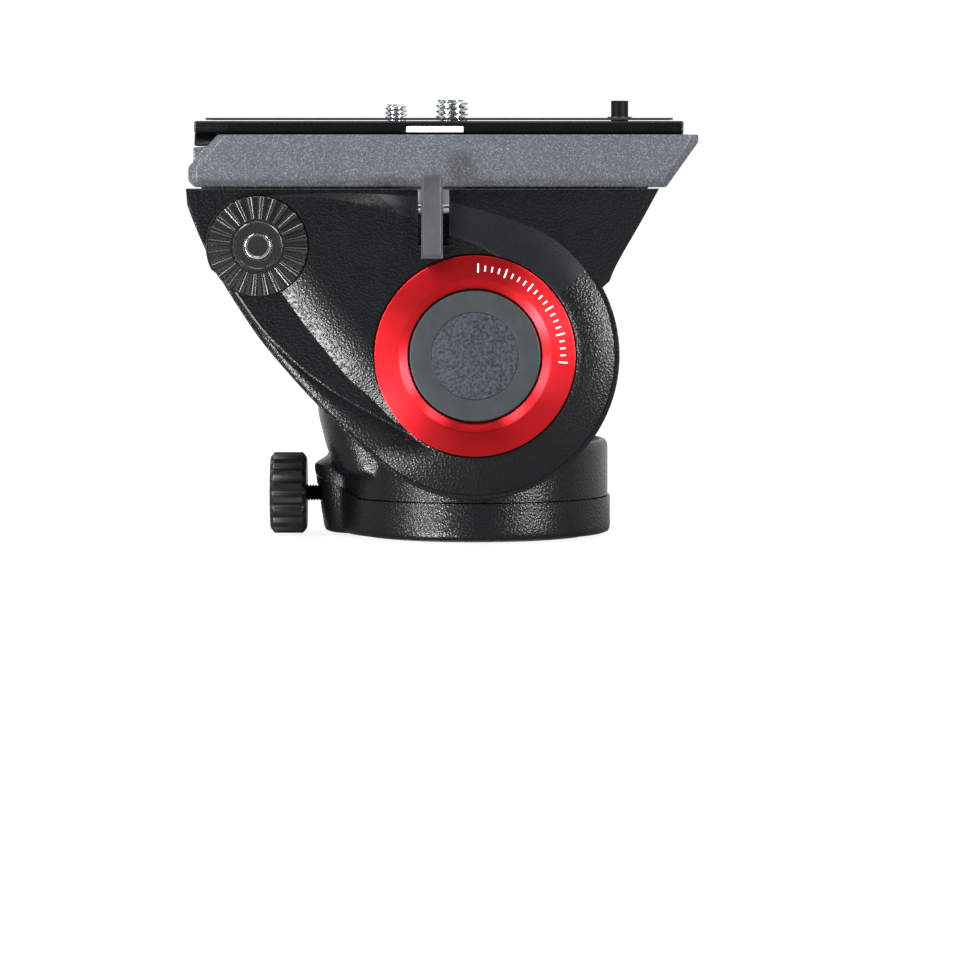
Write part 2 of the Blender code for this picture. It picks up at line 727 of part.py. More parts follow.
def make_pan_lock(finish):
    knob_face = pan_boss_reach + lock_knob_gap
    knob_end = knob_face + lock_knob_length
    loops = []
    for height, shrink in ((knob_face, lock_knob_edge), (knob_face + lock_knob_edge, 0),
                           (knob_end - lock_knob_edge, 0), (knob_end, lock_knob_edge)):
        loops.append(along_z(ribbed_outline(lock_knob_radius - shrink, knob_ribs, knob_groove), height))
    knob = lofted("pan_lock_knob", loops, finish["plastic"])
    shoe_rear = hub_radius + shoe_gap + shoe_length
    grip = knob_face + lock_knob_length / 2
    room = turned("screw_room", disc_profile(lock_screw_radius + SEAT, knob_face - OVERRUN, grip + SEAT),
                  None,
                  SMALL_STEPS)
    cut(knob, room)
    screw = turned("pan_lock_screw", disc_profile(lock_screw_radius, shoe_rear + SEAT, grip, screw_tip_edge),
                   finish["steel"], SMALL_STEPS)
    for piece in (knob, room, screw):
        turn(piece, "Y", -90, (0, 0, lock_z))
    for piece in (knob, screw):
        pivot(piece, (-knob_face, 0, lock_z))
    shoe = box("pan_brake_shoe", (-shoe_rear, -shoe_half_width, lock_z - shoe_half_height),
               (-hub_radius, shoe_half_width, lock_z + shoe_half_height), finish["friction"])
    hub_room = turned("hub_room", disc_profile(hub_radius + shoe_gap, 0, hub_height + OVERRUN))
    cut(shoe, hub_room)


def helix_tube(name, finish):
    """The spring's coil about Z, as one tube whose ring of corners is carried along the helix."""
    upward = Vector((0, 0, 1))
    loops = []
    for step in range(spring_turns * spring_steps_per_turn + 1):
        angle = math.tau * step / spring_steps_per_turn
        out = Vector((math.cos(angle), math.sin(angle), 0))
        centre = out * spring_radius + upward * (spring_pitch * step / spring_steps_per_turn)
        loop = []
        for corner in range(spring_wire_sides):
            around = math.tau * corner / spring_wire_sides
            loop.append(centre + spring_wire_radius * (out * math.cos(around) + upward * math.sin(around)))
        loops.append(loop)
    return lofted(name, loops, finish)


def make_drum_pieces(finish):
    shaft = axle_radius + RUNNING
    axle = turned("tilt_axle", disc_profile(axle_radius, -axle_half_length, axle_half_length, screw_tip_edge),
                  finish["steel"], SMALL_STEPS)
    facing_y(axle, 1)
    thread = turned("axle_thread",
                    disc_profile(tilt_screw_radius + SEAT, axle_half_length - tilt_screw_length,
                                 axle_half_length + OVERRUN), None, SMALL_STEPS)
    cut(axle, facing_y(thread, 1))
    for side, word in ((-1, "right"), (1, "left")):
        bush = turned(f"{word}_tilt_bush",
                      tube_profile(axle_radius + SEAT, axle_radius + tilt_bush_wall, SEAT,
                                   drum_web_half), finish["bronze"], SMALL_STEPS)
        facing_y(bush, side)
    low = drum_web_half + SEAT
    outer = drum_well_radius - SEAT
    inner = outer - stator_wall
    stator = turned("tilt_drag_stator", [
        (shaft + stator_wall, low), (outer, low), (outer, low + stator_length), (inner, low + stator_length),
        (inner, low + stator_wall), (shaft + stator_wall, low + stator_wall),
    ], finish["alloy"])
    facing_y(stator, -1)
    rotor_low = low + stator_wall + RUNNING
    rotor_profile = tube_profile(axle_radius + SEAT, inner - RUNNING, rotor_low, rotor_low + rotor_length,
                                 base_edge)
    facing_y(turned("tilt_drag_rotor", rotor_profile, finish["alloy"]), -1)
    spring = helix_tube("counterbalance_spring", finish["steel"])
    moved(spring, 0, 0, low + spring_wire_radius)
    facing_y(spring, 1)
    disc_low = drum_half_width - RUNNING - RUNNING
    disc = turned("tilt_pressure_disc", tube_profile(axle_radius + SEAT, drum_well_radius - RUNNING, disc_low,
                                                     disc_low + tilt_disc_height), finish["friction"])
    facing_y(disc, 1)


def cheek_outline():
    """The cheek's silhouette, anticlockwise from its front top corner."""
    front = from_shares(front_edge_shares)
    rear = from_shares(rear_edge_shares)
    top_rear = (rear[-1][0] - cheek_edge / 2, cheek_top_z)
    top_front = (front[0][0], cheek_top_z)
    around = arc((0, tilt_z), boss_radius, boss_arc_degrees, BOSS_ARC_POINTS)
    return [top_front, top_rear, *smooth_through(rear[::-1], EDGE_POINTS + 1), *around, *front[:0:-1]]


def arm_loops():
    """The raised arm's outer and inner outlines, as many points each, and the crease across its low side."""
    rosette = (rosette_x, rosette_z)
    step_radius = boss_radius - cheek_edge - cheek_step
    inner_radius = ring_radius + SEAT + cheek_step
    outer = arc((0, tilt_z), step_radius, arm_rim_degrees, BOSS_ARC_POINTS)
    outer += smooth_through(from_shares(arm_top_outer_shares), EDGE_POINTS)
    outer += arc(rosette, rosette_radius + cheek_edge, arm_rosette_degrees, ROSETTE_ARC_POINTS)
    outer += smooth_through(from_shares(arm_low_outer_shares), EDGE_POINTS)
    inner = arc((0, tilt_z), inner_radius, arm_inner_rim_degrees, BOSS_ARC_POINTS)
    inner += smooth_through(from_shares(arm_top_inner_shares), EDGE_POINTS)
    inner += arc(rosette, rosette_radius - cheek_step, arm_inner_rosette_degrees, ROSETTE_ARC_POINTS)
    inner += smooth_through(from_shares(arm_low_inner_shares), EDGE_POINTS)
    crease = smooth_through(from_shares(crease_shares), EDGE_POINTS)
    return outer, inner, crease


def raised_arm(side):
    """The sculpted arm from rosette to drag ring: a wide sloping band round a face with one soft crease."""
    outer, inner, crease = arm_loops()
    count = len(outer)
    lead = BOSS_ARC_POINTS + EDGE_POINTS
    low_start = lead + ROSETTE_ARC_POINTS
    span = count - low_start
    points = [(x, side * (cheek_base - cheek_step), z) for x, z in outer]
    points += [(x, side * (cheek_base + cheek_step / 2), z) for x, z in outer]
    for index, (x, z) in enumerate(inner):
        drop = 0.0
        if lead <= index < low_start:
            drop = (index - lead) / ROSETTE_ARC_POINTS
        elif index >= low_start:
            drop = 1 - (index - low_start) / span
        points.append((x, side * (cheek_face - cheek_crease_drop * drop), z))
    points += [(x, side * cheek_face, z) for x, z in crease]
    first = len(points) - span
    last = len(points) - 1
    faces = [list(range(count))]
    for row in (0, count):
        for index in range(count):
            after = (index + 1) % count
            faces.append([row + index, row + after, row + count + after, row + count + index])
    inner_at = count + count
    faces.append([*range(inner_at, inner_at + low_start), *range(first, last + 1)])
    for index in range(span - 1):
        corner = inner_at + low_start + index
        faces.append([corner, corner + 1, first + index + 1, first + index])
    faces.append([inner_at + low_start - 1, inner_at + low_start, first])
    faces.append([inner_at + count - 1, inner_at, last])
    return object_from("raised_arm", points, faces)


def make_cheek(side, word, finish):
    outline = cheek_outline()
    edge = inset(outline, cheek_edge)
    cheek = lofted(f"{word}_cheek", [
        along_y(edge, side * cheek_inner), along_y(outline, side * (cheek_inner + cheek_edge)),
        along_y(outline, side * (cheek_base - cheek_edge)), along_y(edge, side * cheek_base),
    ], finish["black"])
    flange_x = [x for x, z in outline if z > cheek_top_z - head_flange_depth]
    flange_y = sorted((side * head_flange_inner, side * (cheek_inner + cheek_base) / 2))
    flange = box("head_flange",
                 (min(flange_x) + head_flange_depth, flange_y[0], cheek_top_z - head_flange_depth),
                 (max(flange_x) - head_flange_depth, flange_y[1], cheek_top_z - SEAT))
    join(cheek, flange, raised_arm(side))
    ring_seat = turned("ring_seat", disc_profile(ring_radius + SEAT, cheek_face - ring_seat_depth,
                                                 cheek_face + OVERRUN), None, WIDE_STEPS)
    axle_room = turned("cheek_bore", disc_profile(axle_radius + SEAT, cheek_inner - OVERRUN, cheek_face),
                       None,
                       SMALL_STEPS)
    rosette_seat = turned("rosette_seat", disc_profile(rosette_radius + SEAT, cheek_base + cheek_step,
                                                       cheek_face + OVERRUN))
    bush_room = turned("bush_room",
                       disc_profile(rosette_bush_radius + SEAT, cheek_inner - OVERRUN, cheek_face),
                       None, SMALL_STEPS)
    facing_y(ring_seat, side)
    facing_y(axle_room, side)
    facing_y(rosette_seat, side, rosette_x, rosette_z)
    facing_y(bush_room, side, rosette_x, rosette_z)
    rooms = [ring_seat, axle_room, rosette_seat, bush_room]
    if side < 0:
        slot = box("lever_slot", (slot_x - slot_half_width, -cheek_face - OVERRUN, slot_bottom_z),
                   (slot_x + slot_half_width, -slot_floor, cheek_top_z + OVERRUN))
        stem = turned("stem_room",
                      disc_profile(jaw_stem_radius + SEAT, head_flange_inner - OVERRUN, cheek_face), None,
                      SMALL_STEPS)
        pin = turned("pin_room", disc_profile(lever_pin_radius + SEAT, -lever_pin_half_length - SEAT,
                                              lever_pin_half_length + SEAT), None, SMALL_STEPS)
        facing_y(stem, side, lever_x, jaw_stem_z)
        turn(pin, "Y", 90, (slot_x, -lever_pin_depth, lever_pin_z))
        rooms += [slot, stem, pin]
    cut(cheek, *rooms)


def make_rosette(side, word, finish):
    """The toothed face for the pan bar's clamp: teeth run out from the centre and deepen with radius."""
    low = cheek_base + cheek_step + SEAT
    inner_radius = rosette_boss_radius + RUNNING
    boss = rosette_face - rosette_boss_drop
    share = inner_radius / rosette_radius

    def ring(radius, high, depth):
        loop = []
        for tooth in range(rosette_teeth):
            for along, down in tooth_shares:
                angle = math.tau * (tooth + along) / rosette_teeth
                loop.append((radius * math.cos(angle), radius * math.sin(angle), high - depth * down))
        return loop

    rosette = lofted(f"{word}_rosette", [
        ring(rosette_radius, low, 0), ring(rosette_radius, rosette_face, rosette_tooth_height),
        ring(inner_radius, rosette_face, rosette_tooth_height * share), ring(rosette_boss_radius, boss, 0),
    ], finish["black"])
    facing_y(rosette, side, rosette_x, rosette_z)
    room = turned("rosette_bore",
                  disc_profile(rosette_bush_radius + SEAT, low - OVERRUN, rosette_face + OVERRUN),
                  None, SMALL_STEPS)
    cut(rosette, facing_y(room, side, rosette_x, rosette_z))
    bush = turned(f"{word}_rosette_bush",
                  tube_profile(rosette_thread_radius, rosette_bush_radius, cheek_inner + SEAT,
                               boss - rosette_bush_flush), finish["steel"],
                  SMALL_STEPS)
    facing_y(bush, side, rosette_x, rosette_z)


def make_drag_ring(side, word, finish):
    seat = cheek_face - ring_seat_depth + SEAT
    face = cheek_face + ring_proud
    ring = turned(f"{word}_drag_ring", [
        (ring_inner_radius, seat), (ring_radius, seat), (ring_radius, face - cheek_edge / 2),
        (ring_radius - cheek_edge / 2, face), (ring_flat_radius, face),
        (ring_inner_radius, face - ring_bevel_drop),
    ], finish["red"], WIDE_STEPS)
    facing_y(ring, side)
    cap_face = face - ring_bevel_drop + cap_edge
    cap = turned(f"{word}_cap", disc_profile(cap_radius, seat, cap_face, cap_edge), finish["cap"])
    facing_y(cap, side)
    if side < 0:
        floor = cap_face - inlay_height
        room = turned("inlay_room", disc_profile(inlay_radius + SEAT, floor - SEAT, cap_face + OVERRUN))
        cut(cap, facing_y(room, side))
        inlay = turned(f"{word}_inlay", disc_profile(inlay_radius, floor, cap_face, SEAT), finish["cap"])
        facing_y(inlay, side)
    else:
        room = turned("cap_bore", disc_profile(tilt_screw_radius + SEAT, seat - OVERRUN, cap_face + OVERRUN),
                      None,
                      SMALL_STEPS)
        cut(cap, facing_y(room, side))
    return cap_face


def make_tilt_lock(finish, cap_face):
    """The far side's lock lever: a hub on the tilt axis with one tapering arm, and the screw in it."""
    low = cap_face + SEAT
    middle = low + tilt_lever_hub_height - tilt_lever_thickness
    high = low + tilt_lever_hub_height
    hub = turned("tilt_lock_lever", disc_profile(tilt_lever_hub_radius, low, high, base_edge),
                 finish["plastic"])
    end = (tilt_lever_length, 0)
    outline = [(0, -tilt_lever_root_half_width), *arc(end, tilt_lever_end_radius, (-90, 90), EDGE_POINTS),
               (0, tilt_lever_root_half_width)]
    edge = inset(outline, tilt_lever_edge)
    arm = lofted("lever_arm", [along_z(edge, middle), along_z(outline, middle + tilt_lever_edge),
                               along_z(outline, high - tilt_lever_edge - SEAT), along_z(edge, high - SEAT)])
    turn(arm, "Z", -tilt_lever_degrees)
    room = turned("lever_bore", disc_profile(tilt_screw_radius + SEAT, low - OVERRUN, middle), None,
                  SMALL_STEPS)
    for piece in (hub, arm, room):
        facing_y(piece, 1)
    join(hub, arm)
    cut(hub, room)
    screw = turned("tilt_lock_screw",
                   disc_profile(tilt_screw_radius, axle_half_length - tilt_screw_length + RUNNING,
                                middle - SEAT, screw_tip_edge), finish["steel"],
                   SMALL_STEPS)
    facing_y(screw, 1)
    for piece in (hub, screw):
        pivot(piece, (0, 0, tilt_z))


def rail_outline(pulled=0.0):
    """Side view of the platform. Pulled draws the two slanted ends in, for the bevels on the outer faces."""
    return [
        (rail_front_bottom_x - pulled, platform_bottom_z), (rail_front_x - pulled, rail_front_knee_z),
        (rail_front_x - pulled, platform_top_z), (rail_rear_top_x + pulled, platform_top_z),
        (rail_rear_x + pulled, rail_rear_knee_z),
        (rail_rear_x + pulled, platform_bottom_z + rail_bevel_depth),
        (rail_rear_x + pulled + rail_bevel_depth, platform_bottom_z),
    ]


def dovetail_outline(grown, floor, top):
    """Half the plate's dovetail, widest at the floor. A grown outline is the channel that takes it."""
    low = plate_half_width + grown
    high = plate_neck_half_width + grown
    return [(-low, floor), (low, floor), (low, floor + plate_edge + grown), (high, plate_neck_z), (high, top),
            (-high, top), (-high, plate_neck_z), (-low, floor + plate_edge + grown)]


def make_platform(finish):
    inner = platform_half_width - rail_bevel_depth
    platform = lofted("platform", [
        along_y(rail_outline(rail_bevel), -platform_half_width), along_y(rail_outline(), -inner),
        along_y(rail_outline(), inner), along_y(rail_outline(rail_bevel), platform_half_width),
    ], finish["grey"])
    core = box("platform_core",
               (plate_rear_x, -platform_core_half_width, platform_bottom_z + rail_bevel_depth),
               (rail_rear_top_x + OVERRUN, platform_core_half_width, platform_floor_z))
    join(platform, core)
    low_x, high_x = rail_rear_x - OVERRUN, rail_front_x + OVERRUN
    channel_outline = dovetail_outline(plate_gap, platform_floor_z, platform_top_z + OVERRUN)
    channel = lofted("plate_channel", [along_x(channel_outline, low_x), along_x(channel_outline, high_x)])
    pocket = box("platform_pocket", (rail_rear_top_x + platform_end_wall, -platform_pocket_half_width,
                                     platform_bottom_z - OVERRUN),
                 (rail_front_bottom_x - platform_end_wall, platform_pocket_half_width, platform_pocket_z))
    jaw_room = box("jaw_room", (lever_x - jaw_half_length - SEAT, -(jaw_leg_face + jaw_leg + RUNNING),
                                platform_bottom_z - OVERRUN),
                   (lever_x + jaw_half_length + SEAT, -(plate_neck_half_width - RUNNING),
                    platform_top_z + OVERRUN))
    barrel = turned("catch_room", disc_profile(catch_radius + SEAT, platform_pocket_half_width - OVERRUN,
                                               platform_half_width + OVERRUN), None, SMALL_STEPS)
    facing_y(barrel, 1, catch_x, catch_z)
    flange = turned("catch_flange_room",
                    disc_profile(catch_flange_radius + SEAT, platform_pocket_half_width - OVERRUN,
                                 platform_half_width - catch_wall), None, SMALL_STEPS)
    facing_y(flange, 1, catch_x, catch_z)
    cut(platform, channel, pocket, jaw_room, barrel, flange)


def make_plate_lock(finish):
    face_low = plate_half_width + jaw_gap
    face_high = plate_neck_half_width + jaw_gap
    back = jaw_leg_face + jaw_leg
    section = [
        (-face_low, jaw_shoulder_z), (-face_low, plate_bottom_z + plate_edge),
        (-face_high, plate_neck_z - SEAT),
        (-face_high, platform_top_z), (-back, platform_top_z), (-back, jaw_foot_z),
        (-jaw_leg_face, jaw_foot_z),
        (-jaw_leg_face, jaw_shoulder_z),
    ]
    jaw = lofted("plate_clamp_jaw", [along_x(section, lever_x - jaw_half_length),
                                     along_x(section, lever_x + jaw_half_length)], finish["alloy"])
    stem_end = lever_pin_depth - lever_eye_radius - jaw_stem_gap
    stem = turned("jaw_stem", disc_profile(jaw_stem_radius, back - RUNNING, stem_end), None, SMALL_STEPS)
    join(jaw, facing_y(stem, -1, lever_x, jaw_stem_z))

    inner = lever_face - lever_thickness
    half = lever_half_width
    blade = [
        (-inner, lever_bottom_z + lever_corner), (-inner - lever_corner, lever_bottom_z),
        (-lever_face + lever_edge, lever_bottom_z), (-lever_face, lever_bottom_z + lever_corner),
        (-lever_face, lever_top_z - lever_corner - lever_corner), (-lever_face + lever_corner, lever_top_z),
        (-inner, lever_top_z),
    ]
    narrow = [(y + lever_edge if y == -lever_face else y, min(z, lever_top_z - lever_corner)) for y,
              z in blade]
    lever = lofted("plate_lever", [
        along_x(narrow, lever_x - half), along_x(blade, lever_x - half + lever_edge),
        along_x(blade, lever_x + half - lever_edge), along_x(narrow, lever_x + half),
    ], finish["lever"])
    eye_half = half - lever_edge
    root = -inner - lever_corner
    around = arc((-lever_pin_depth, lever_pin_z), lever_eye_radius, (90, -90), EYE_POINTS)
    eye_outline = [(root, lever_pin_z + lever_eye_radius), *around, (root, lever_pin_z - lever_eye_radius)]
    eye = lofted("lever_eye",
                 [along_x(eye_outline, lever_x - eye_half), along_x(eye_outline, lever_x + eye_half)])
    bore = turned("lever_eye_bore", disc_profile(lever_pin_radius + SEAT, -half - OVERRUN, half + OVERRUN),
                  None,
                  SMALL_STEPS)
    turn(bore, "Y", 90, (lever_x, -lever_pin_depth, lever_pin_z))
    join(lever, eye)
    cut(lever, bore)
    pin = turned("plate_lever_pin",
                 disc_profile(lever_pin_radius, -lever_pin_half_length, lever_pin_half_length),
                 finish["steel"], SMALL_STEPS)
    turn(pin, "Y", 90, (slot_x, -lever_pin_depth, lever_pin_z))
    for piece in (lever, eye, bore):
        pivot(piece, (0, -lever_pin_depth, lever_pin_z))


def make_safety_catch(finish):
    flange_high = platform_half_width - catch_wall - SEAT
    flange_low = flange_high - catch_flange_height
    button_end = flange_low - catch_tail
    button = turned("safety_catch", [
        (0, button_end), (catch_radius, button_end), (catch_radius, flange_low),
        (catch_flange_radius, flange_low),
        (catch_flange_radius, flange_high), (catch_radius, flange_high),
        (catch_radius, platform_half_width + catch_proud - SEAT),
        (catch_radius - SEAT, platform_half_width + catch_proud), (0, platform_half_width + catch_proud),
    ], finish["red"], SMALL_STEPS)
    facing_y(button, 1, catch_x, catch_z)


def make_plate(finish):
    flange = plate_half_width
    neck = plate_neck_half_width
    half = [(flange, plate_bottom_z), (flange, plate_bottom_z + plate_edge), (neck, plate_neck_z),
            (flange - plate_edge, plate_flange_z - plate_edge), (flange, plate_flange_z),
            (flange, plate_top_z - plate_edge), (flange - plate_edge, plate_top_z)]
    section = half + [(-y, z) for y, z in reversed(half)]
    trimmed = inset(section, SEAT)
    plate = lofted("camera_plate", [
        along_x(trimmed, plate_rear_x), along_x(section, plate_rear_x + plate_edge),
        along_x(section, plate_front_x - plate_edge), along_x(trimmed, plate_front_x),
    ], finish["black"])
    deck_low = plate_top_z - plate_deck
    pocket = box("plate_pocket", (plate_slot_rear_x - plate_pocket_margin, -plate_pocket_half_width,
                                  plate_bottom_z - OVERRUN),
                 (plate_slot_front_x + plate_pocket_margin, plate_pocket_half_width, deck_low))
    slot_plan = slot_outline(plate_slot_rear_x, plate_slot_front_x, plate_slot_half_width)
    slot = lofted("plate_slot", [along_z(slot_plan, plate_bottom_z - OVERRUN),
                                 along_z(slot_plan, plate_top_z + OVERRUN)])
    pin_room = turned("pin_room", [
        (0, plate_bottom_z - OVERRUN), (pin_collar_radius + SEAT, plate_bottom_z - OVERRUN),
        (pin_collar_radius + SEAT, pin_seat_z), (pin_radius + SEAT, pin_seat_z),
        (pin_radius + SEAT, plate_top_z + OVERRUN), (0, plate_top_z + OVERRUN),
    ], None, SMALL_STEPS)
    moved(pin_room, pin_x, 0, 0)
    rooms = []
    for side, word in ((-1, "right"), (1, "left")):
        depths = sorted((side * (plate_half_width - insert_depth - SEAT),
                         side * (plate_half_width + OVERRUN)))
        rooms.append(box(f"{word}_insert_room", (insert_rear_x, depths[0], insert_bottom_z),
                         (insert_front_x, depths[1], insert_top_z)))
        inner, outer = sorted((side * (plate_half_width - insert_depth), side * (plate_half_width - SEAT)))
        box(f"{word}_index_insert", (insert_rear_x + SEAT, inner, insert_bottom_z + SEAT),
            (insert_front_x - SEAT, outer, insert_top_z - SEAT), finish["pale"])
    cut(plate, *rooms, pocket, slot, pin_room)

    pad_low = plate_top_z + SEAT
    pad_plan = rounded_rectangle(pad_rear_x, pad_front_x, -pad_half_width, pad_half_width, pad_corner)
    pad = lofted("top_pad", [along_z(pad_plan, pad_low), along_z(pad_plan, pad_low + pad_height)],
                 finish["rubber"])
    pad_slot_plan = slot_outline(plate_slot_rear_x - SEAT, plate_slot_front_x + SEAT,
                                 plate_slot_half_width + SEAT)
    pad_slot = lofted("pad_slot", [along_z(pad_slot_plan, pad_low - OVERRUN),
                                   along_z(pad_slot_plan, pad_low + OVERRUN)])
    pad_hole = turned("pad_hole", disc_profile(pin_bush_radius, pad_low - OVERRUN, pad_low + OVERRUN), None,
                      SMALL_STEPS)
    moved(pad_hole, pin_x, 0, 0)
    cut(pad, pad_slot, pad_hole)


def make_camera_screw(word, x, radius, top, finish):
    slider_high = plate_top_z - plate_deck - SEAT
    slider_low = slider_high - slider_height
    half = slider_half_length
    slider = box(f"{word}_screw_slider", (x - half, -(plate_pocket_half_width - SEAT), slider_low),
                 (x + half, plate_pocket_half_width - SEAT, slider_high), finish["steel"])
    bore = turned(f"{word}_slider_bore",
                  disc_profile(radius + SEAT, slider_low - OVERRUN, slider_high + OVERRUN),
                  None, SMALL_STEPS)
    cut(slider, moved(bore, x, 0, 0))
    head_high = slider_low - SEAT
    head_low = head_high - screw_head_height
    screw = turned(f"{word}_camera_screw", [
        (0, head_low), (screw_head_radius - screw_tip_edge, head_low),
        (screw_head_radius, head_low + screw_tip_edge),
        (screw_head_radius, head_high), (radius, head_high), (radius, top - screw_tip_edge),
        (radius - screw_tip_edge, top), (0, top),
    ], finish["steel"], SMALL_STEPS)
    groove = box(f"{word}_screw_slot",
                 (-screw_head_radius - OVERRUN, -screw_slot_width / 2, head_low - OVERRUN),
                 (screw_head_radius + OVERRUN, screw_slot_width / 2, head_low + screw_slot_depth))
    cut(screw, groove)
    for piece in (screw, groove):
        piece.location.x = x


def make_pin(finish):
    collar_high = pin_seat_z - SEAT
    collar_low = collar_high - pin_collar_height
    pin = turned("anti_twist_pin", [
        (0, collar_low), (pin_collar_radius, collar_low), (pin_collar_radius, collar_high),
        (pin_radius, collar_high),
        (pin_radius, pin_top_z - SEAT), (pin_radius - SEAT, pin_top_z), (0, pin_top_z),
    ], finish["plastic"], SMALL_STEPS)
    spring = turned("pin_spring", tube_profile(pin_radius - RUNNING, pin_radius + SEAT, plate_bottom_z + SEAT,
                                               collar_low - SEAT), finish["steel"], SMALL_STEPS)
    bush_low = plate_top_z + SEAT
    bush = turned("pin_bush", [
        (pin_radius + SEAT, bush_low), (pin_bush_radius - SEAT, bush_low),
        (pin_bush_radius - SEAT, bush_low + pad_height),
        (pin_radius + SEAT + RUNNING, bush_low + pin_bush_height),
        (pin_radius + SEAT, bush_low + pin_bush_height),
    ], finish["plastic"], SMALL_STEPS)
    for piece in (pin, spring, bush):
        piece.location.x = pin_x


def build():
    clear_scene()
    finish = make_finishes()
    web_low, nut_pocket_low, nut_high = make_base(finish)
    make_housing(finish, web_low, nut_pocket_low, nut_high)
    make_bubble(finish)
    make_pan_lock(finish)
    make_drum_pieces(finish)
    for side, word in ((-1, "right"), (1, "left")):
        make_cheek(side, word, finish)
        make_rosette(side, word, finish)
        cap_face = make_drag_ring(side, word, finish)
    make_tilt_lock(finish, cap_face)
    make_platform(finish)
    make_plate_lock(finish)
    make_safety_catch(finish)
    make_plate(finish)
    make_camera_screw("small", small_screw_x, small_screw_radius, small_screw_top_z, finish)
    make_camera_screw("large", large_screw_x, large_screw_radius, large_screw_top_z, finish)
    make_pin(finish)


build()
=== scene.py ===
"""The looks of a fluid video head: finishes, fine shapes, camera, lamps and floor around the fixed frame."""

import json
import math

import bmesh
import bpy
import numpy as np
from mathutils import Matrix, Vector
from mathutils.geometry import delaunay_2d_cdt


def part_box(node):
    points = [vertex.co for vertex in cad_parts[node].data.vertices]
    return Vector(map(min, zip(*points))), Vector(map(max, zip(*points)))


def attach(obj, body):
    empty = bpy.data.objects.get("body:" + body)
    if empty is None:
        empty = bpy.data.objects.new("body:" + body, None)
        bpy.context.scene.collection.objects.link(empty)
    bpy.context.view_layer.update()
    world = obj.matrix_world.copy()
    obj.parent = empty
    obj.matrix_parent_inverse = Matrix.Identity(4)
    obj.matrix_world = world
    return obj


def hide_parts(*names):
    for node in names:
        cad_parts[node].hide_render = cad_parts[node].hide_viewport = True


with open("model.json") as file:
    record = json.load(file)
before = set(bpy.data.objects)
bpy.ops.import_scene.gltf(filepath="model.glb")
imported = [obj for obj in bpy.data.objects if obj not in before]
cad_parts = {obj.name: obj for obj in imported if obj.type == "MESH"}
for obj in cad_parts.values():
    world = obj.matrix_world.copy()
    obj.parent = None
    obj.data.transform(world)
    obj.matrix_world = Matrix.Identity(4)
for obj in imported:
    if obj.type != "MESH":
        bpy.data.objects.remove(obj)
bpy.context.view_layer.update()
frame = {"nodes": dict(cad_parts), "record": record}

MM = 0.001

# The photograph's view: the camera stands square to the head's right side, level with the camera plate
image_side_px = 980
focal_px = 5152
horizon_px = 129
pan_axis_px = 475
camera_distance = 1500 * MM
camera_height = 117.8 * MM
sensor_width = 36.0


def middle(name):
    low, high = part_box(name)
    return (low + high) / 2


def radius_of(name):
    """Half the width of a solid of revolution about Z or Y."""
    low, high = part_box(name)
    return (high.x - low.x) / 2


def depths(name):
    """How far a solid's inner and outer faces lie from the head's middle plane."""
    return sorted(abs(corner.y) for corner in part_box(name))


# Sizes read from the frame's solids
tilt_z = middle("right_drag_ring").z
cheek_low, cheek_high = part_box("right_cheek")
cheek_face = -cheek_low.y
boss_radius = tilt_z - cheek_low.z
cheek_top_z = cheek_high.z
rosette_x = middle("right_rosette").x
rosette_z = middle("right_rosette").z
rosette_radius = radius_of("right_rosette")
ring_radius = radius_of("right_drag_ring")
cap_radius = radius_of("right_cap")
inlay_radius = radius_of("right_inlay")
bush_radius = radius_of("right_rosette_bush")

# Sizes inside a solid, which its box doesn't show
cheek_inner = 39.6 * MM
cheek_base = 42.2 * MM
cheek_edge = 0.7 * MM
cheek_rim = 0.5 * MM
head_flange_inner = 33.6 * MM
head_flange_depth = 7.0 * MM
flange_inset = 7.0 * MM
jaw_stem_radius = 1.6 * MM
jaw_stem_drop = 3.4 * MM
ring_seat_depth = 1.6 * MM
ring_chamfer = 0.5 * MM
chamfer_drop = 0.3 * MM
ring_inner_radius = 19.0 * MM
ring_flat_radius = 21.6 * MM
ring_bevel_drop = 1.3 * MM
axle_radius = 6.4 * MM
slot_x = -11.7 * MM
slot_half_width = 4.4 * MM
slot_bottom_z = 84.8 * MM
slot_wall = 0.6 * MM
lever_pin_radius = 1.5 * MM
lever_pin_reach = 6.3 * MM

# Clearances, and how far a cut starts outside its solid
play = 0.3 * MM
seat_gap = 0.35 * MM
overrun = 5 * MM

# Fine shape of the cheek's arm
cheek_shoulder = 1.2 * MM
crease_drop = 2.4 * MM
crease_width = 12.5 * MM
# How far up a band face must point to take the smoother coat, whose lighter colour is painted light from
# above
satin_painted_light_share = 0.68
arm_edge = 0.5 * MM
arm_edge_drop = 0.45 * arm_edge
arm_gap = 0.8 * MM
arm_tuck = 0.5 * MM
arm_riser = 0.3 * MM
arm_foot_rise = 0.25 * MM
arm_root = 1.2 * MM
band_bulge = 0.35 * MM
band_shares = (0.0, 0.12, 0.3, 0.5, 0.7, 0.88, 0.97)
boss_steps = 130
edge_steps = 60
rosette_steps = 40
crease_steps = 90
face_step = 1.1 * MM
grid_margin = 0.6 * face_step

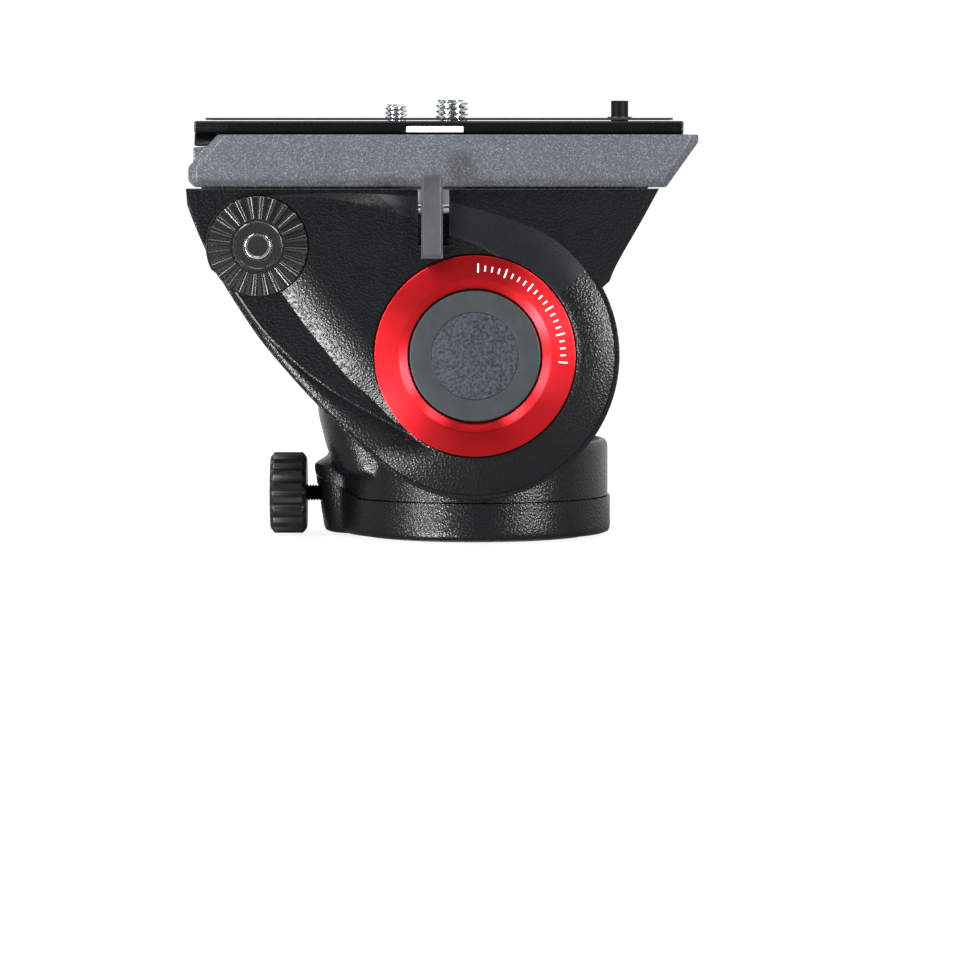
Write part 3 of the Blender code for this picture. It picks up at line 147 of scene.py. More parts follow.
# Rosette: radial teeth, and the rims of boss and bush as (inwards or outwards, down) in millimetres
rosette_boss_radius = 7.2 * MM
rosette_groove = 0.6 * MM
rosette_seat_rise = 0.5 * MM
rosette_teeth = 24
tooth_depth = 1.0 * MM
tooth_rim = 0.15 * MM
tooth_tip = 0.2 * MM
crest_inset = 0.1 * MM
boss_inset = 0.2 * MM
groove_share = 0.7
tooth_shares = (
    (0.0, 1.0), (0.30, 1.0), (0.36, 0.72), (0.42, 0.42), (0.48, 0.18), (0.55, 0.04), (0.62, 0.0), (0.70, 0.0),
    (0.77, 0.04), (0.84, 0.18), (0.90, 0.42), (0.95, 0.72),
)
boss_rim = ((0, 0.55), (0.15, 0.2), (0.45, 0), (0.8, 0), (1.1, 0.25))
bush_rim = ((0.5, 0.25), (0.1, 0.7))
rosette_thread_radius = 3.0 * MM
rosette_thread_pitch = 1.0 * MM
rosette_thread_floor = 0.8 * MM
mouth_chamfer = 0.35 * MM
mouth_depth = 0.5 * MM
mouth_rise = 0.2 * MM

# Radii of rounded rims
ring_rim = 0.35 * MM
moulded_rim = 0.45 * MM
metal_rim = 0.3 * MM
fine_rim = 0.12 * MM
ledge_rim = 1.6 * MM
drum_rim = 1.2 * MM
skirt_rim = 0.9 * MM
screw_head_rim = 0.5 * MM
pin_rim = 0.25 * MM
cup_rim = 0.2 * MM
hub_rim = 1.4 * MM

# Cap and inlay
inlay_gap = 0.1 * MM
inlay_depth = 0.5 * MM
inlay_back = 0.45 * MM
inlay_sink = 0.02 * MM

# Housing, skirt and base
housing_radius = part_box("pan_housing")[1].y
housing_ledge_z = 28.0 * MM
housing_bore_radius = 31.0 * MM
skirt_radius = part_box("housing_skirt")[1].y
skirt_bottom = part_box("housing_skirt")[0].z
skirt_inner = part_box("base_plate")[1].x + 0.7 * MM
seam_z = 11.4 * MM
seam_root_x = -33.0 * MM
seam_tip_x = -48.0 * MM
seam_rise = 6.4 * MM
boss_reach = 47.2 * MM
boss_foot_reach = 43.9 * MM
boss_half_width = 15.0 * MM
boss_top_half_width = 9.0 * MM
boss_top_z = 20.6 * MM
boss_slope = 3.2 * MM
neck_half_width = 27.0 * MM
neck_rows = 40
neck_least_share = 0.3
drum_half_width = 38.0 * MM
drum_radius = 36.0 * MM
drum_well_radius = 24.0 * MM
drum_well_floor = 14.0 * MM
axle_room_radius = 8.7 * MM
pan_bush_room_radius = 8.8 * MM
nut_room_radius = 11.6 * MM
nut_room_rise = 2.6 * MM
bubble_room_radius = 5.5 * MM
shoe_play = Vector((0.6, 0.3, 0.3)) * MM
casting_grain = 0.65 * MM
casting_softness = 16
base_height = 4.5 * MM
base_edge = 0.8 * MM
hub_radius = 22.0 * MM
spindle_radius = 6.0 * MM
tripod_thread_radius = 4.76 * MM
tripod_thread_depth = 9.5 * MM
tripod_thread_start = -2.0 * MM
coarse_pitch = 25.4 / 16 * MM

# Pan lock: its knob's rim is (along, inwards) in millimetres
lock_z = 12.0 * MM
lock_bore_radius = 2.7 * MM
lock_bore_reach = (22.0 * MM, 52.0 * MM)
lock_screw_radius = 2.4 * MM
lock_screw_pitch = 0.8 * MM
lock_screw_gap = 0.4 * MM
knob_ribs = 18
knob_groove = 0.9 * MM
knob_rim = ((0, 1.5), (0.15, 1.2), (1.0, 0.2), (1.3, 0))
rib_steps = 12
rib_share = 0.34
rib_fade = 1.6 * MM

# Dishes in moulded end faces, as (inset at the floor, inset at the mouth, depth, rise) in millimetres
knob_dish = (5.2, 3.6, 1.2, 0.4)
lever_dish = (6.4, 5.4, 0.9, 1.0)

# Camera screws, pin, catch and bubble level
camera_screws = (("small", 3.175 * MM, 25.4 / 20 * MM), ("large", 4.76 * MM, 25.4 / 16 * MM))
screw_head_height = 3.0 * MM
screw_thread_start = 1.8 * MM
screw_slot_half_width = 0.7 * MM
screw_slot_depth = 1.1 * MM
pin_radius = 2.5 * MM
pin_collar_height = 0.9 * MM
pin_bush_edge = 0.6 * MM
catch_radius = 3.2 * MM
catch_flange = (2.0 * MM, 3.2 * MM)
bubble_wall = 0.8 * MM
dome_height = 0.5 * MM
dome_steps = 8
mark_radii = (1.55 * MM, 1.85 * MM)
mark_depth = 0.25 * MM
air_radius = 1.1 * MM
air_top_radius = 1.0 * MM
air_depth = 0.3 * MM
air_rim = 0.05 * MM
air_offset = 0.25 * MM

# The far side's lock lever
tilt_hub_radius = 15.0 * MM
tilt_lever_length = 46.0 * MM
tilt_lever_end_radius = 5.5 * MM
tilt_lever_root = 8.2 * MM
tilt_lever_degrees = 200.0
tilt_lever_thickness = 5.0 * MM
tilt_lever_edge = 0.8 * MM
tilt_lever_sink = 0.3 * MM
tilt_lever_grain = 0.4 * MM
tilt_lever_softness = 6
lever_bore_radius = 3.3 * MM

# Marks on the drag ring
scale_marks = 21
scale_start = 88.0
scale_step = 4.6
scale_radius = 24.9 * MM
scale_long = 2.6 * MM
scale_short = 1.5 * MM
scale_width = 0.42 * MM
ink_root = 0.2 * MM
ink_height = 0.03 * MM

# Carried-over solids that get rounded edges, with the edge's width in millimetres
weld_gap = 0.01 * MM
softened_edges = (
    ("platform", 0.45), ("camera_plate", 0.25), ("top_pad", 0.2), ("plate_lever", 0.45),
    ("plate_clamp_jaw", 0.25), ("right_index_insert", 0.2), ("left_index_insert", 0.2),
    ("small_screw_slider", 0.15), ("large_screw_slider", 0.15), ("pan_brake_shoe", 0.3),
)

# Light and floor: each softbox has a place, a target, its width and height, and its power
room_light = 0.03
backdrop_light = 0.9
floor_half_width = 6.0
floor_gap = 0.5 * MM
lamp_target = (0, 0, 0.065)
softboxes = (
    ("left_softbox", (-0.80, -0.70, 0.25), lamp_target, 0.22, 0.40, 7.2),
    ("right_softbox", (0.78, -0.72, 0.22), lamp_target, 0.20, 0.40, 10.0),
    ("top_left_softbox", (-0.60, -0.55, 0.80), lamp_target, 0.30, 0.30, 6.0),
    ("top_right_softbox", (0.60, -0.55, 0.80), lamp_target, 0.30, 0.30, 4.5),
    ("top_softbox", (0.0, -0.30, 1.05), lamp_target, 0.6, 0.35, 2.0),
    ("table_softbox", (-0.62, -0.84, -0.34), (-0.02, -0.045, 0.075), 0.24, 0.24, 11.0),
)

# Neck and lock boss in plan and in side view, as shares
neck_outline_shares = (
    (-0.55, -0.86), (-0.93, -0.86), (-1.03, -0.74), (-1.08, -0.58), (-1.115, -0.40),
    (-1.09, -0.20), (-1.00, -0.02), (-0.86, 0.12), (-0.55, 0.12),
)
tongue_shares = ((0.0, 1.0), (0.45, 0.97), (0.78, 0.80), (0.94, 0.50), (1.0, 0.0))

# Outlines of the cheek and its raised arm, as shares of the boss radius about the tilt axis
rear_edge_shares = (
    (-0.82, -0.61), (-1.12, -0.31), (-1.31, -0.10), (-1.48, 0.105), (-1.62, 0.31),
    (-1.75, 0.52), (-1.86, 0.73), (-1.945, 0.93), (-1.985, 1.04),
)
front_edge_shares = ((1.27, 1.151), (1.15, 0.93), (1.035, 0.73), (0.965, 0.60), (0.925, 0.50))
arm_top_outer_shares = (
    (0.20, 0.96), (-0.14, 1.05), (-0.38, 1.095), (-0.66, 1.118), (-0.95, 1.125), (-1.22, 1.125),
    (-1.49, 1.11),
)
arm_top_inner_shares = (
    (0.21, 0.665), (0.03, 0.77), (-0.17, 0.85), (-0.52, 0.99), (-0.80, 1.05), (-1.10, 1.095), (-1.42, 1.09),
)
arm_low_outer_shares = (
    (-1.765, 0.57), (-1.595, 0.31), (-1.455, 0.105), (-1.285, -0.10), (-1.09, -0.31), (-0.89, -0.51),
    (-0.69, -0.69),
)
arm_low_inner_shares = (
    (-1.66, 0.44), (-1.49, 0.20), (-1.34, 0.04), (-1.20, -0.09), (-1.00, -0.24), (-0.78, -0.37),
    (-0.43, -0.56),
)
crease_shares = (
    (-1.47, 0.64), (-1.40, 0.53), (-1.28, 0.36), (-1.15, 0.18), (-1.02, 0.02), (-0.88, -0.15), (-0.72, -0.29),
    (-0.55, -0.46), (-0.44, -0.50),
)

# Numbers that keep the outline tests safe: one against division by zero, one for "on the line", in metres
tiny = 1e-12
on_line = 1e-7


class Graph:
    """A material's nodes, added from left to right by short calls."""

    def __init__(self, name):
        self.material = bpy.data.materials.new(name)
        self.material.use_nodes = True
        self.tree = self.material.node_tree
        self.shader = self.tree.nodes["Principled BSDF"]
        self.place = self.add("ShaderNodeTexCoord").outputs["Object"]

    def add(self, kind, **settings):
        made = self.tree.nodes.new(kind)
        for key, value in settings.items():
            setattr(made, key, value)
        return made

    def link(self, source, target):
        self.tree.links.new(source, target)

    def noise(self, scale, detail=3.0, roughness=0.55):
        made = self.add("ShaderNodeTexNoise")
        made.inputs["Scale"].default_value = scale
        made.inputs["Detail"].default_value = detail
        made.inputs["Roughness"].default_value = roughness
        self.link(self.place, made.inputs["Vector"])
        return made.outputs["Fac"]

    def cells(self, scale, output="Distance"):
        made = self.add("ShaderNodeTexVoronoi", feature="F1")
        made.inputs["Scale"].default_value = scale
        self.link(self.place, made.inputs["Vector"])
        return made.outputs[output]

    def ramp(self, value, stops):
        """A colour ramp through (position, colour or grey) stops."""
        made = self.add("ShaderNodeValToRGB")
        self.link(value, made.inputs["Fac"])
        elements = made.color_ramp.elements
        while len(elements) < len(stops):
            elements.new(0.5)
        for element, (position, colour) in zip(elements, stops):
            element.position = position
            grey = isinstance(colour, (int, float))
            element.color = (colour, colour, colour, 1) if grey else (*colour, 1)
        return made.outputs["Color"]

    def bump(self, height, strength, distance, base=None):
        made = self.add("ShaderNodeBump")
        made.inputs["Strength"].default_value = strength
        made.inputs["Distance"].default_value = distance
        self.link(height, made.inputs["Height"])
        if base:
            self.link(base, made.inputs["Normal"])
        return made.outputs["Normal"]

    def set(self, **values):
        """Fixed values of the shader's inputs."""
        for key, value in values.items():
            self.shader.inputs[key.replace("_", " ").title().replace("Ior", "IOR")].default_value = value

    def drive(self, socket, output):
        self.link(output, self.shader.inputs[socket])

    def vary(self, socket, value, low, high, start=0.3, end=0.7):
        """A shader input that goes from low to high with a texture's value."""
        self.drive(socket, self.ramp(value, ((start, low), (end, high))))


def powder_coat(name, dark, light, rough_low, rough_high, strength):
    """Cast metal under a wrinkled powder coat: coarse pimples with a finer wrinkle between them."""
    made = Graph(name)
    pimples = made.cells(1350.0)
    wrinkle = made.noise(2200.0, 2.0, 0.5)
    made.vary("Base Color", made.noise(90.0), dark, light)
    made.vary("Roughness", wrinkle, rough_low, rough_high)
    coarse = made.bump(made.ramp(pimples, ((0.10, 1.0), (0.60, 0.0))), strength, 0.06 * MM)
    made.drive("Normal", made.bump(wrinkle, strength * 0.6, 0.03 * MM, coarse))
    made.set(specular_ior_level=0.38)
    return made.material


def satin_band(name, dark, light, rough_low, rough_high, level):
    """The same coat, smoother and finer-grained, on the rosettes and on the upward-facing part of the arm's
    band, where its lighter colour is painted light from above.
    """
    made = Graph(name)
    fine = made.noise(2600.0, 3.0, 0.5)
    made.vary("Base Color", made.noise(90.0), dark, light)
    made.vary("Roughness", fine, rough_low, rough_high)
    made.drive("Normal", made.bump(fine, 0.25, 0.02 * MM))
    made.set(specular_ior_level=level)
    return made.material


def turned_red(name, dark, light):
    """Red anodised metal with the fine circular lines of turning, which stretch its highlights outwards."""
    made = Graph(name)
    tangent = made.add("ShaderNodeTangent", direction_type="RADIAL", axis="Y")
    made.drive("Tangent", tangent.outputs["Tangent"])
    apart = made.add("ShaderNodeSeparateXYZ")
    made.link(made.place, apart.inputs[0])
    flat = made.add("ShaderNodeCombineXYZ")
    made.link(apart.outputs["X"], flat.inputs["X"])
    made.link(apart.outputs["Z"], flat.inputs["Z"])
    reach = made.add("ShaderNodeVectorMath", operation="LENGTH")
    made.link(flat.outputs[0], reach.inputs[0])
    lines = made.add("ShaderNodeTexNoise", noise_dimensions="1D")
    lines.inputs["Scale"].default_value = 5200.0
    lines.inputs["Detail"].default_value = 2.0
    made.link(reach.outputs["Value"], lines.inputs["W"])
    made.vary("Base Color", made.noise(120.0), dark, light)
    made.vary("Roughness", lines.outputs["Fac"], 0.32, 0.40)
    made.drive("Normal", made.bump(lines.outputs["Fac"], 0.25, 0.01 * MM))
    made.set(metallic=1.0, anisotropic=0.8, anisotropic_rotation=0.25)
    return made.material


def flake_paint(name, dark, light):
    """Grey paint with a fine metallic flake."""
    made = Graph(name)
    flakes = made.cells(3400.0, "Color")
    made.drive("Base Color", made.ramp(flakes, ((0.0, dark), (0.55, dark), (0.90, light), (1.0, light))))
    made.vary("Roughness", made.noise(120.0), 0.34, 0.42)
    made.drive("Normal", made.bump(made.noise(1900.0), 0.5, 0.03 * MM))
    made.set(metallic=0.5)
    return made.material


def plain_metal(name, dark, light, rough_low, rough_high):
    """Bare or plated metal with faint tool marks and stains."""
    made = Graph(name)
    made.vary("Base Color", made.noise(160.0), dark, light)
    fine = made.noise(1800.0)
    made.vary("Roughness", fine, rough_low, rough_high)
    made.drive("Normal", made.bump(fine, 0.2, 0.01 * MM))
    made.set(metallic=1.0)
    return made.material


def moulded(name, dark, light, rough_low, rough_high, grain=1500.0, depth=0.02 * MM, level=0.5):
    """Plastic, rubber or ink with a fine grain."""
    made = Graph(name)
    made.vary("Base Color", made.noise(200.0), dark, light)
    fine = made.noise(grain)
    made.vary("Roughness", fine, rough_low, rough_high)
    made.drive("Normal", made.bump(fine, 0.35, depth))
    made.set(specular_ior_level=level)
    return made.material


def speckled(name, dark, light):
    """Moulded plastic with a coarse speckle in its colour and its grain."""
    made = Graph(name)
    grains = made.noise(1300.0, 2.0, 0.6)
    made.vary("Base Color", grains, dark, light, 0.35, 0.65)
    made.vary("Roughness", grains, 0.42, 0.58)
    made.drive("Normal", made.bump(grains, 0.7, 0.05 * MM))
    return made.material


def liquid(name, dark, light):
    made = Graph(name)
    made.vary("Base Color", made.noise(200.0), dark, light)
    made.set(roughness=0.05, coat_weight=1.0)
    return made.material


finish_recipes = {
    "black_casting": (powder_coat, (0.0016, 0.0020, 0.0024), (0.0026, 0.0031, 0.0036), 0.25, 0.31, 0.85),
    "toothed_black": (satin_band, (0.003, 0.0036, 0.004), (0.005, 0.0056, 0.006), 0.22, 0.30, 1.0),
    # satin_black_painted_light: a smoother coat whose colour, lighter than the casting's, is painted light
    # from above on the arm band's upward-facing faces
    "satin_black_painted_light": (satin_band, (0.007, 0.0085, 0.0095), (0.009, 0.0105, 0.0115), 0.24, 0.30, 0.42),
    "grey_casting": (flake_paint, (0.095, 0.104, 0.118), (0.24, 0.254, 0.278)),
    "red_anodised": (turned_red, (0.84, 0.022, 0.030), (0.94, 0.030, 0.038)),
    "charcoal_plastic": (
        moulded, (0.014, 0.018, 0.021), (0.022, 0.027, 0.031), 0.46, 0.54, 2200.0, 0.04 * MM),
    "zinc_steel": (plain_metal, (0.78, 0.84, 0.86), (0.90, 0.93, 0.94), 0.14, 0.24),
    "bronze": (plain_metal, (0.45, 0.29, 0.12), (0.55, 0.36, 0.16), 0.32, 0.42),
    "machined_alloy": (plain_metal, (0.66, 0.67, 0.68), (0.76, 0.77, 0.78), 0.28, 0.36),
    "lever_alloy": (plain_metal, (0.15, 0.16, 0.175), (0.20, 0.21, 0.23), 0.36, 0.44),
    "matt_black": (
        moulded, (0.0015, 0.0017, 0.0019), (0.0022, 0.0025, 0.0028), 0.50, 0.60, 1500.0, 0.02 * MM, 0.15),
    "black_plastic": (moulded, (0.004, 0.005, 0.0055), (0.006, 0.007, 0.0075), 0.32, 0.42),
    "black_rubber": (moulded, (0.012, 0.012, 0.013), (0.018, 0.018, 0.019), 0.80, 0.92),
    "pale_plastic": (moulded, (0.86, 0.87, 0.86), (0.90, 0.90, 0.89), 0.40, 0.50),
    "level_liquid": (liquid, (0.55, 0.75, 0.15), (0.65, 0.83, 0.22)),
    "friction_lining": (moulded, (0.16, 0.12, 0.09), (0.22, 0.17, 0.12), 0.75, 0.85),
    "inlay": (speckled, (0.004, 0.006, 0.010), (0.034, 0.041, 0.052)),
    "safety_red": (moulded, (0.50, 0.012, 0.012), (0.56, 0.018, 0.018), 0.25, 0.35),
    "black_steel": (plain_metal, (0.020, 0.021, 0.022), (0.030, 0.031, 0.032), 0.30, 0.42),
    "white_ink": (moulded, (0.80, 0.80, 0.80), (0.86, 0.86, 0.86), 0.50, 0.60),
}
finishes = {name: recipe[0](name, *recipe[1:]) for name, recipe in finish_recipes.items()}
slot_of = {part["node"]: part["material_slot"] for part in frame["record"]["subparts"]}


def placed(name, data):
    """A new object in the scene."""
    made = bpy.data.objects.new(name, data)
    bpy.context.scene.collection.objects.link(made)
    return made


def creased(obj, degrees):
    """Smooth shading with an edge wherever faces meet at more than so many degrees."""
    obj.data.shade_smooth()
    obj.data.set_sharp_from_angle(angle=math.radians(degrees))


def bare(name, points, faces, finish, degrees=30):
    """A mesh object with its faces turned outwards."""
    mesh = bpy.data.meshes.new(name)
    shape = bmesh.new()
    corners = [shape.verts.new(point) for point in points]
    for face in faces:
        shape.faces.new([corners[index] for index in face])
    bmesh.ops.recalc_face_normals(shape, faces=shape.faces)
    shape.to_mesh(mesh)
    shape.free()
    mesh.materials.append(finishes[finish])
    made = placed(name, mesh)
    creased(made, degrees)
    return made


def lofted(name, loops, finish, degrees=30):
    """A closed solid through loops of as many points each, capped at the first and the last."""
    count = len(loops[0])
    points = [point for loop in loops for point in loop]
    faces = [list(range(count)), list(range(len(points) - count, len(points)))]
    for row in range(len(loops) - 1):
        for index in range(count):
            after = (index + 1) % count
            low, high = row * count, (row + 1) * count
            faces.append([low + index, low + after, high + after, high + index])
    return bare(name, points, faces, finish, degrees)


def box(name, low, high, finish):
    (x0, y0, z0), (x1, y1, z1) = low, high
    return lofted(name, [[(x0, y0, z), (x1, y0, z), (x1, y1, z), (x0, y1, z)] for z in (z0, z1)], finish)


def rounded(profile, radius, steps=4):
    """A closed profile with each corner replaced by a short curve. A corner on the axis stays."""
    made = []
    count = len(profile)
    for index in range(count):
        before, here, after = (Vector(profile[(index + step) % count]) for step in (-1, 0, 1))
        if here.x == 0:
            made.append(tuple(here))
            continue
        back, ahead = before - here, after - here
        reach = min(radius, 0.45 * back.length, 0.45 * ahead.length)
        start, end = here + back.normalized() * reach, here + ahead.normalized() * reach
        for step in range(steps + 1):
            t = step / steps
            made.append(tuple(start * (1 - t) ** 2 + here * 2 * t * (1 - t) + end * t**2))
    return made


def cone(low_radius, high_radius, low, high):
    """The profile of a solid cone frustum."""
    return [(0, low), (low_radius, low), (high_radius, high), (0, high)]


def rod(radius, low, high):
    return cone(radius, radius, low, high)


def tube(inner, outer, low, high):
    return [(inner, low), (outer, low), (outer, high), (inner, high)]


def turned(name, profile, finish, steps=128, degrees=30):
    """A solid of revolution about Z through a closed profile of (radius, height)."""
    points, rings = [], []
    for radius, height in profile:
        if radius == 0:
            rings.append([len(points)] * steps)
            points.append((0, 0, height))
            continue
        rings.append(list(range(len(points), len(points) + steps)))
        for step in range(steps):
            turn = math.tau * step / steps
            points.append((radius * math.cos(turn), radius * math.sin(turn), height))
    faces = []
    for low, high in zip(rings, rings[1:] + rings[:1]):
        for step in range(steps):
            after = (step + 1) % steps
            corners = list(dict.fromkeys((low[step], low[after], high[after], high[step])))
            if len(corners) > 2:
                faces.append(corners)
    return bare(name, points, faces, finish, degrees)


def dish(name, radius, far, sizes, steps):
    """What hollows the end face of a knob or a hub."""
    floor_inset, mouth_inset, depth, rise = (size * MM for size in sizes)
    profile = cone(radius - floor_inset, radius - mouth_inset, far - depth, far + rise)
    return turned(name, profile, "black_plastic", steps)


def facing_y(obj, side, x=0.0, z=tilt_z):
    """A piece turned about Z is laid on the Y axis, its +Z out of the chosen side."""
    obj.data.transform(Matrix.Rotation(math.radians(-90 * side), 4, "X"))
    obj.location = (x, 0, z)
    return obj


def laid_back(obj):
    """A piece turned about Z is laid along -X on the pan lock's axis."""
    obj.data.transform(Matrix.Rotation(math.radians(-90), 4, "Y"))
    obj.location = (0, 0, lock_z)
    return obj


def dressed(obj, body, slot, *nodes):
    """The piece rides on its body and stands for its solids. Its slot is not used."""
    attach(obj, body)
    if nodes:
        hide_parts(*nodes)


def baked(obj):
    """The object's modifiers are worked into its mesh."""
    bpy.context.view_layer.update()
    made = bpy.data.meshes.new_from_object(obj.evaluated_get(bpy.context.evaluated_depsgraph_get()))
    obj.modifiers.clear()
    obj.data = made


def boolean(target, others, operation):
    """One exact Boolean of the target with all the others together, which are then removed."""
    group = bpy.data.collections.new(operation)
    bpy.context.scene.collection.children.link(group)
    for other in others:
        group.objects.link(other)
    change = target.modifiers.new(operation, "BOOLEAN")
    change.operation = operation
    change.solver = "EXACT"
    change.operand_type = "COLLECTION"
    change.collection = group
    baked(target)
    for other in others:
        bpy.data.objects.remove(other)
    bpy.data.collections.remove(group)


def merged(name, *pieces):
    """One object from several closed shells, in the place of the first."""
    shape = bmesh.new()
    used = []
    for piece in pieces:
        mesh = piece.data
        mesh.transform(piece.matrix_basis)
        used += [finish for finish in mesh.materials if finish not in used]
        before = len(shape.faces)
        shape.from_mesh(mesh)
        shape.faces.ensure_lookup_table()
        for face in shape.faces[before:]:
            face.material_index = used.index(mesh.materials[face.material_index])
    mesh = bpy.data.meshes.new(name)
    shape.to_mesh(mesh)
    shape.free()
    for finish in used:
        mesh.materials.append(finish)
    for piece in pieces:
        bpy.data.objects.remove(piece)
    return placed(name, mesh)


def cast_together(name, pieces, finish, grain=casting_grain, softness=casting_softness):
    """Overlapping shells fused into one casting whose meeting lines are rounded off."""
    obj = merged(name, *pieces)
    fuse = obj.modifiers.new("fuse", "REMESH")
    fuse.mode = "VOXEL"
    fuse.voxel_size = grain
    soften = obj.modifiers.new("soften", "SMOOTH")
    soften.factor = 0.5
    soften.iterations = softness
    baked(obj)
    obj.data.materials.clear()
    obj.data.materials.append(finishes[finish])
    return obj


def threaded(name, radius, pitch, low, high, finish):
    """A screw thread about Z: a rod whose radius follows the thread's V along a helix."""
    steps, rows_per_turn = 40, 8
    depth = 0.6 * pitch
    rows = max(2, round((high - low) / pitch * rows_per_turn))
    loops = []
    for row in range(rows + 1):
        z = low + (high - low) * row / rows
        taper = min(1.0, (high - z) / pitch + 0.35)
        loop = []
        for step in range(steps):
            share = (z / pitch - step / steps) % 1
            inward = depth * max(0.0, 1 - abs(2 * share - 1) * 1.25)
            reach = (radius - inward) * (0.86 + 0.14 * taper)
            turn = math.tau * step / steps
            loop.append((reach * math.cos(turn), reach * math.sin(turn), z))
        loops.append(loop)
    return lofted(name, loops, finish, 25)


def from_shares(shares):
    return [(x * boss_radius, tilt_z + z * boss_radius) for x, z in shares]


def smooth_through(points, count):
    """Evenly spaced points on a smooth curve through the given ones."""
    ends = [2 * Vector(points[0]) - Vector(points[1]), 2 * Vector(points[-1]) - Vector(points[-2])]
    knots = [ends[0], *map(Vector, points), ends[1]]
    spans = len(points) - 1
    found = []
    for step in range(count):
        place = spans * step / (count - 1)
        span = min(int(place), spans - 1)
        t = place - span
        a, b, c, d = knots[span : span + 4]
        curve = 2 * b + (c - a) * t + (2 * a - 5 * b + 4 * c - d) * t**2 + (3 * b - a - 3 * c + d) * t**3
        found.append(tuple(curve / 2))
    return found


def arc(centre, radius, start, end, count):
    turns = [math.radians(start + (end - start) * step / (count - 1)) for step in range(count)]
    return [(centre[0] + radius * math.cos(turn), centre[1] + radius * math.sin(turn)) for turn in turns]


def inset(outline, distance):
    """The anticlockwise outline moved inwards."""
    moved = []
    count = len(outline)
    for index in range(count):
        before, here, after = (Vector(outline[(index + step) % count]) for step in (-1, 0, 1))
        first, second = (here - before).normalized(), (after - here).normalized()
        normal = Vector((-first.y - second.y, first.x + second.x)).normalized()
        stretch = max(0.5, normal.dot(Vector((-first.y, first.x))))
        moved.append(tuple(here + normal * distance / stretch))
    return moved


def along_y(outline, y):
    return [(x, y, z) for x, z in outline]


def at_height(outline, z):
    return [(x, y, z) for x, y in outline]


def cheek_outline():
    front, rear = from_shares(front_edge_shares), from_shares(rear_edge_shares)
    corners = [(front[0][0], cheek_top_z), (rear[-1][0] - cheek_edge / 2, cheek_top_z)]
    around = arc((0, tilt_z), boss_radius, 222, 388, 90)
    return [*corners, *smooth_through(rear[::-1], 60), *around, *smooth_through(front[::-1], 30)[1:-1]]


def arm_outlines():
    """The arm's outer and inner outlines, as many points each."""
    rosette = (rosette_x, rosette_z)
    outer = arc((0, tilt_z), boss_radius - cheek_shoulder, -137, 76, boss_steps)
    outer += smooth_through(from_shares(arm_top_outer_shares), edge_steps)
    outer += arc(rosette, rosette_radius + arm_gap, 95, 206, rosette_steps)
    outer += smooth_through(from_shares(arm_low_outer_shares), edge_steps)
    inner = arc((0, tilt_z), ring_radius + arm_gap, -126, 71, boss_steps)
    inner += smooth_through(from_shares(arm_top_inner_shares), edge_steps)
    inner += arc(rosette, rosette_radius - arm_tuck, 84, 236, rosette_steps)
    inner += smooth_through(from_shares(arm_low_inner_shares), edge_steps)
    return outer, inner


def distances(points, line):
    """Each point's distance from a line through corners, and on which side of it the point lies."""
    start, end = line[:-1], line[1:]
    along = end - start
    away = points[:, None, :] - start[None, :, :]
    share = np.clip((away * along).sum(2) / (along**2).sum(1), 0, 1)
    gap = np.linalg.norm(away - share[..., None] * along, axis=2)
    nearest = gap.argmin(1)
    rows = np.arange(len(points))
    cross = along[nearest, 0] * away[rows, nearest, 1] - along[nearest, 1] * away[rows, nearest, 0]
    return gap[rows, nearest], np.sign(cross)


def inside(points, outline):
    """True where a point lies inside the closed outline."""
    x, z = points[:, 0, None], points[:, 1, None]
    a, b = outline, np.roll(outline, -1, axis=0)
    crosses = (a[:, 1] > z) != (b[:, 1] > z)
    meets = x < a[:, 0] + (z - a[:, 1]) * (b[:, 0] - a[:, 0]) / (b[:, 1] - a[:, 1] + tiny)
    return (crosses & meets).sum(1) % 2 == 1


def past_ends(points, line, gap):
    """How far points beyond either end of a line lie from that end, along the line's direction there."""
    past = np.zeros(len(points))
    for end, before in ((line[-1], line[-4]), (line[0], line[3])):
        way = (end - before) / np.linalg.norm(end - before)
        nearest = np.linalg.norm(points - end, axis=1) < gap + on_line
        past[nearest] = np.clip((points[nearest] - end) @ way, 0, None)
    return past


def arm_face(inner, crease, side):
    """The face inside the arm's inner outline, as triangles on a fine grid that keeps the crease sharp.
    Below the crease lies a flat facet, and above it a flank rises softly to the arm's highest plane."""
    outline, crease = np.array(inner), np.array(crease)
    low, high = outline.min(0), outline.max(0)
    columns, rows = np.meshgrid(np.arange(low[0], high[0], face_step), np.arange(low[1], high[1], face_step))
    shifted = columns + face_step / 2 * (np.arange(len(rows)) % 2)[:, None]
    grid = np.stack([shifted.ravel(), rows.ravel()], 1)
    closed = np.vstack([outline, outline[:1]])
    keep = inside(grid, outline) & (distances(grid, closed)[0] > grid_margin)
    keep &= distances(grid, crease)[0] > grid_margin
    points = [Vector(p) for p in (*outline, *crease, *grid[keep])]
    count = len(outline)
    edges = [(index, (index + 1) % count) for index in range(count)]
    edges += [(count + index, count + index + 1) for index in range(len(crease) - 1)]
    made = delaunay_2d_cdt(points, edges, [list(range(count))], 1, 0.0)
    flat = np.array([tuple(p) for p in made[0]])
    gap, sign = distances(flat, crease)
    reach = np.where(sign < 0, past_ends(flat, crease, gap), gap)
    drop = crease_drop * np.clip(1 - reach / crease_width, 0, 1) ** 2
    drop[gap < on_line] = crease_drop
    spots = [(x, side * (cheek_face - d), z) for (x, z), d in zip(flat, drop)]
    return spots, [list(face) for face in made[2]], drop[:count]


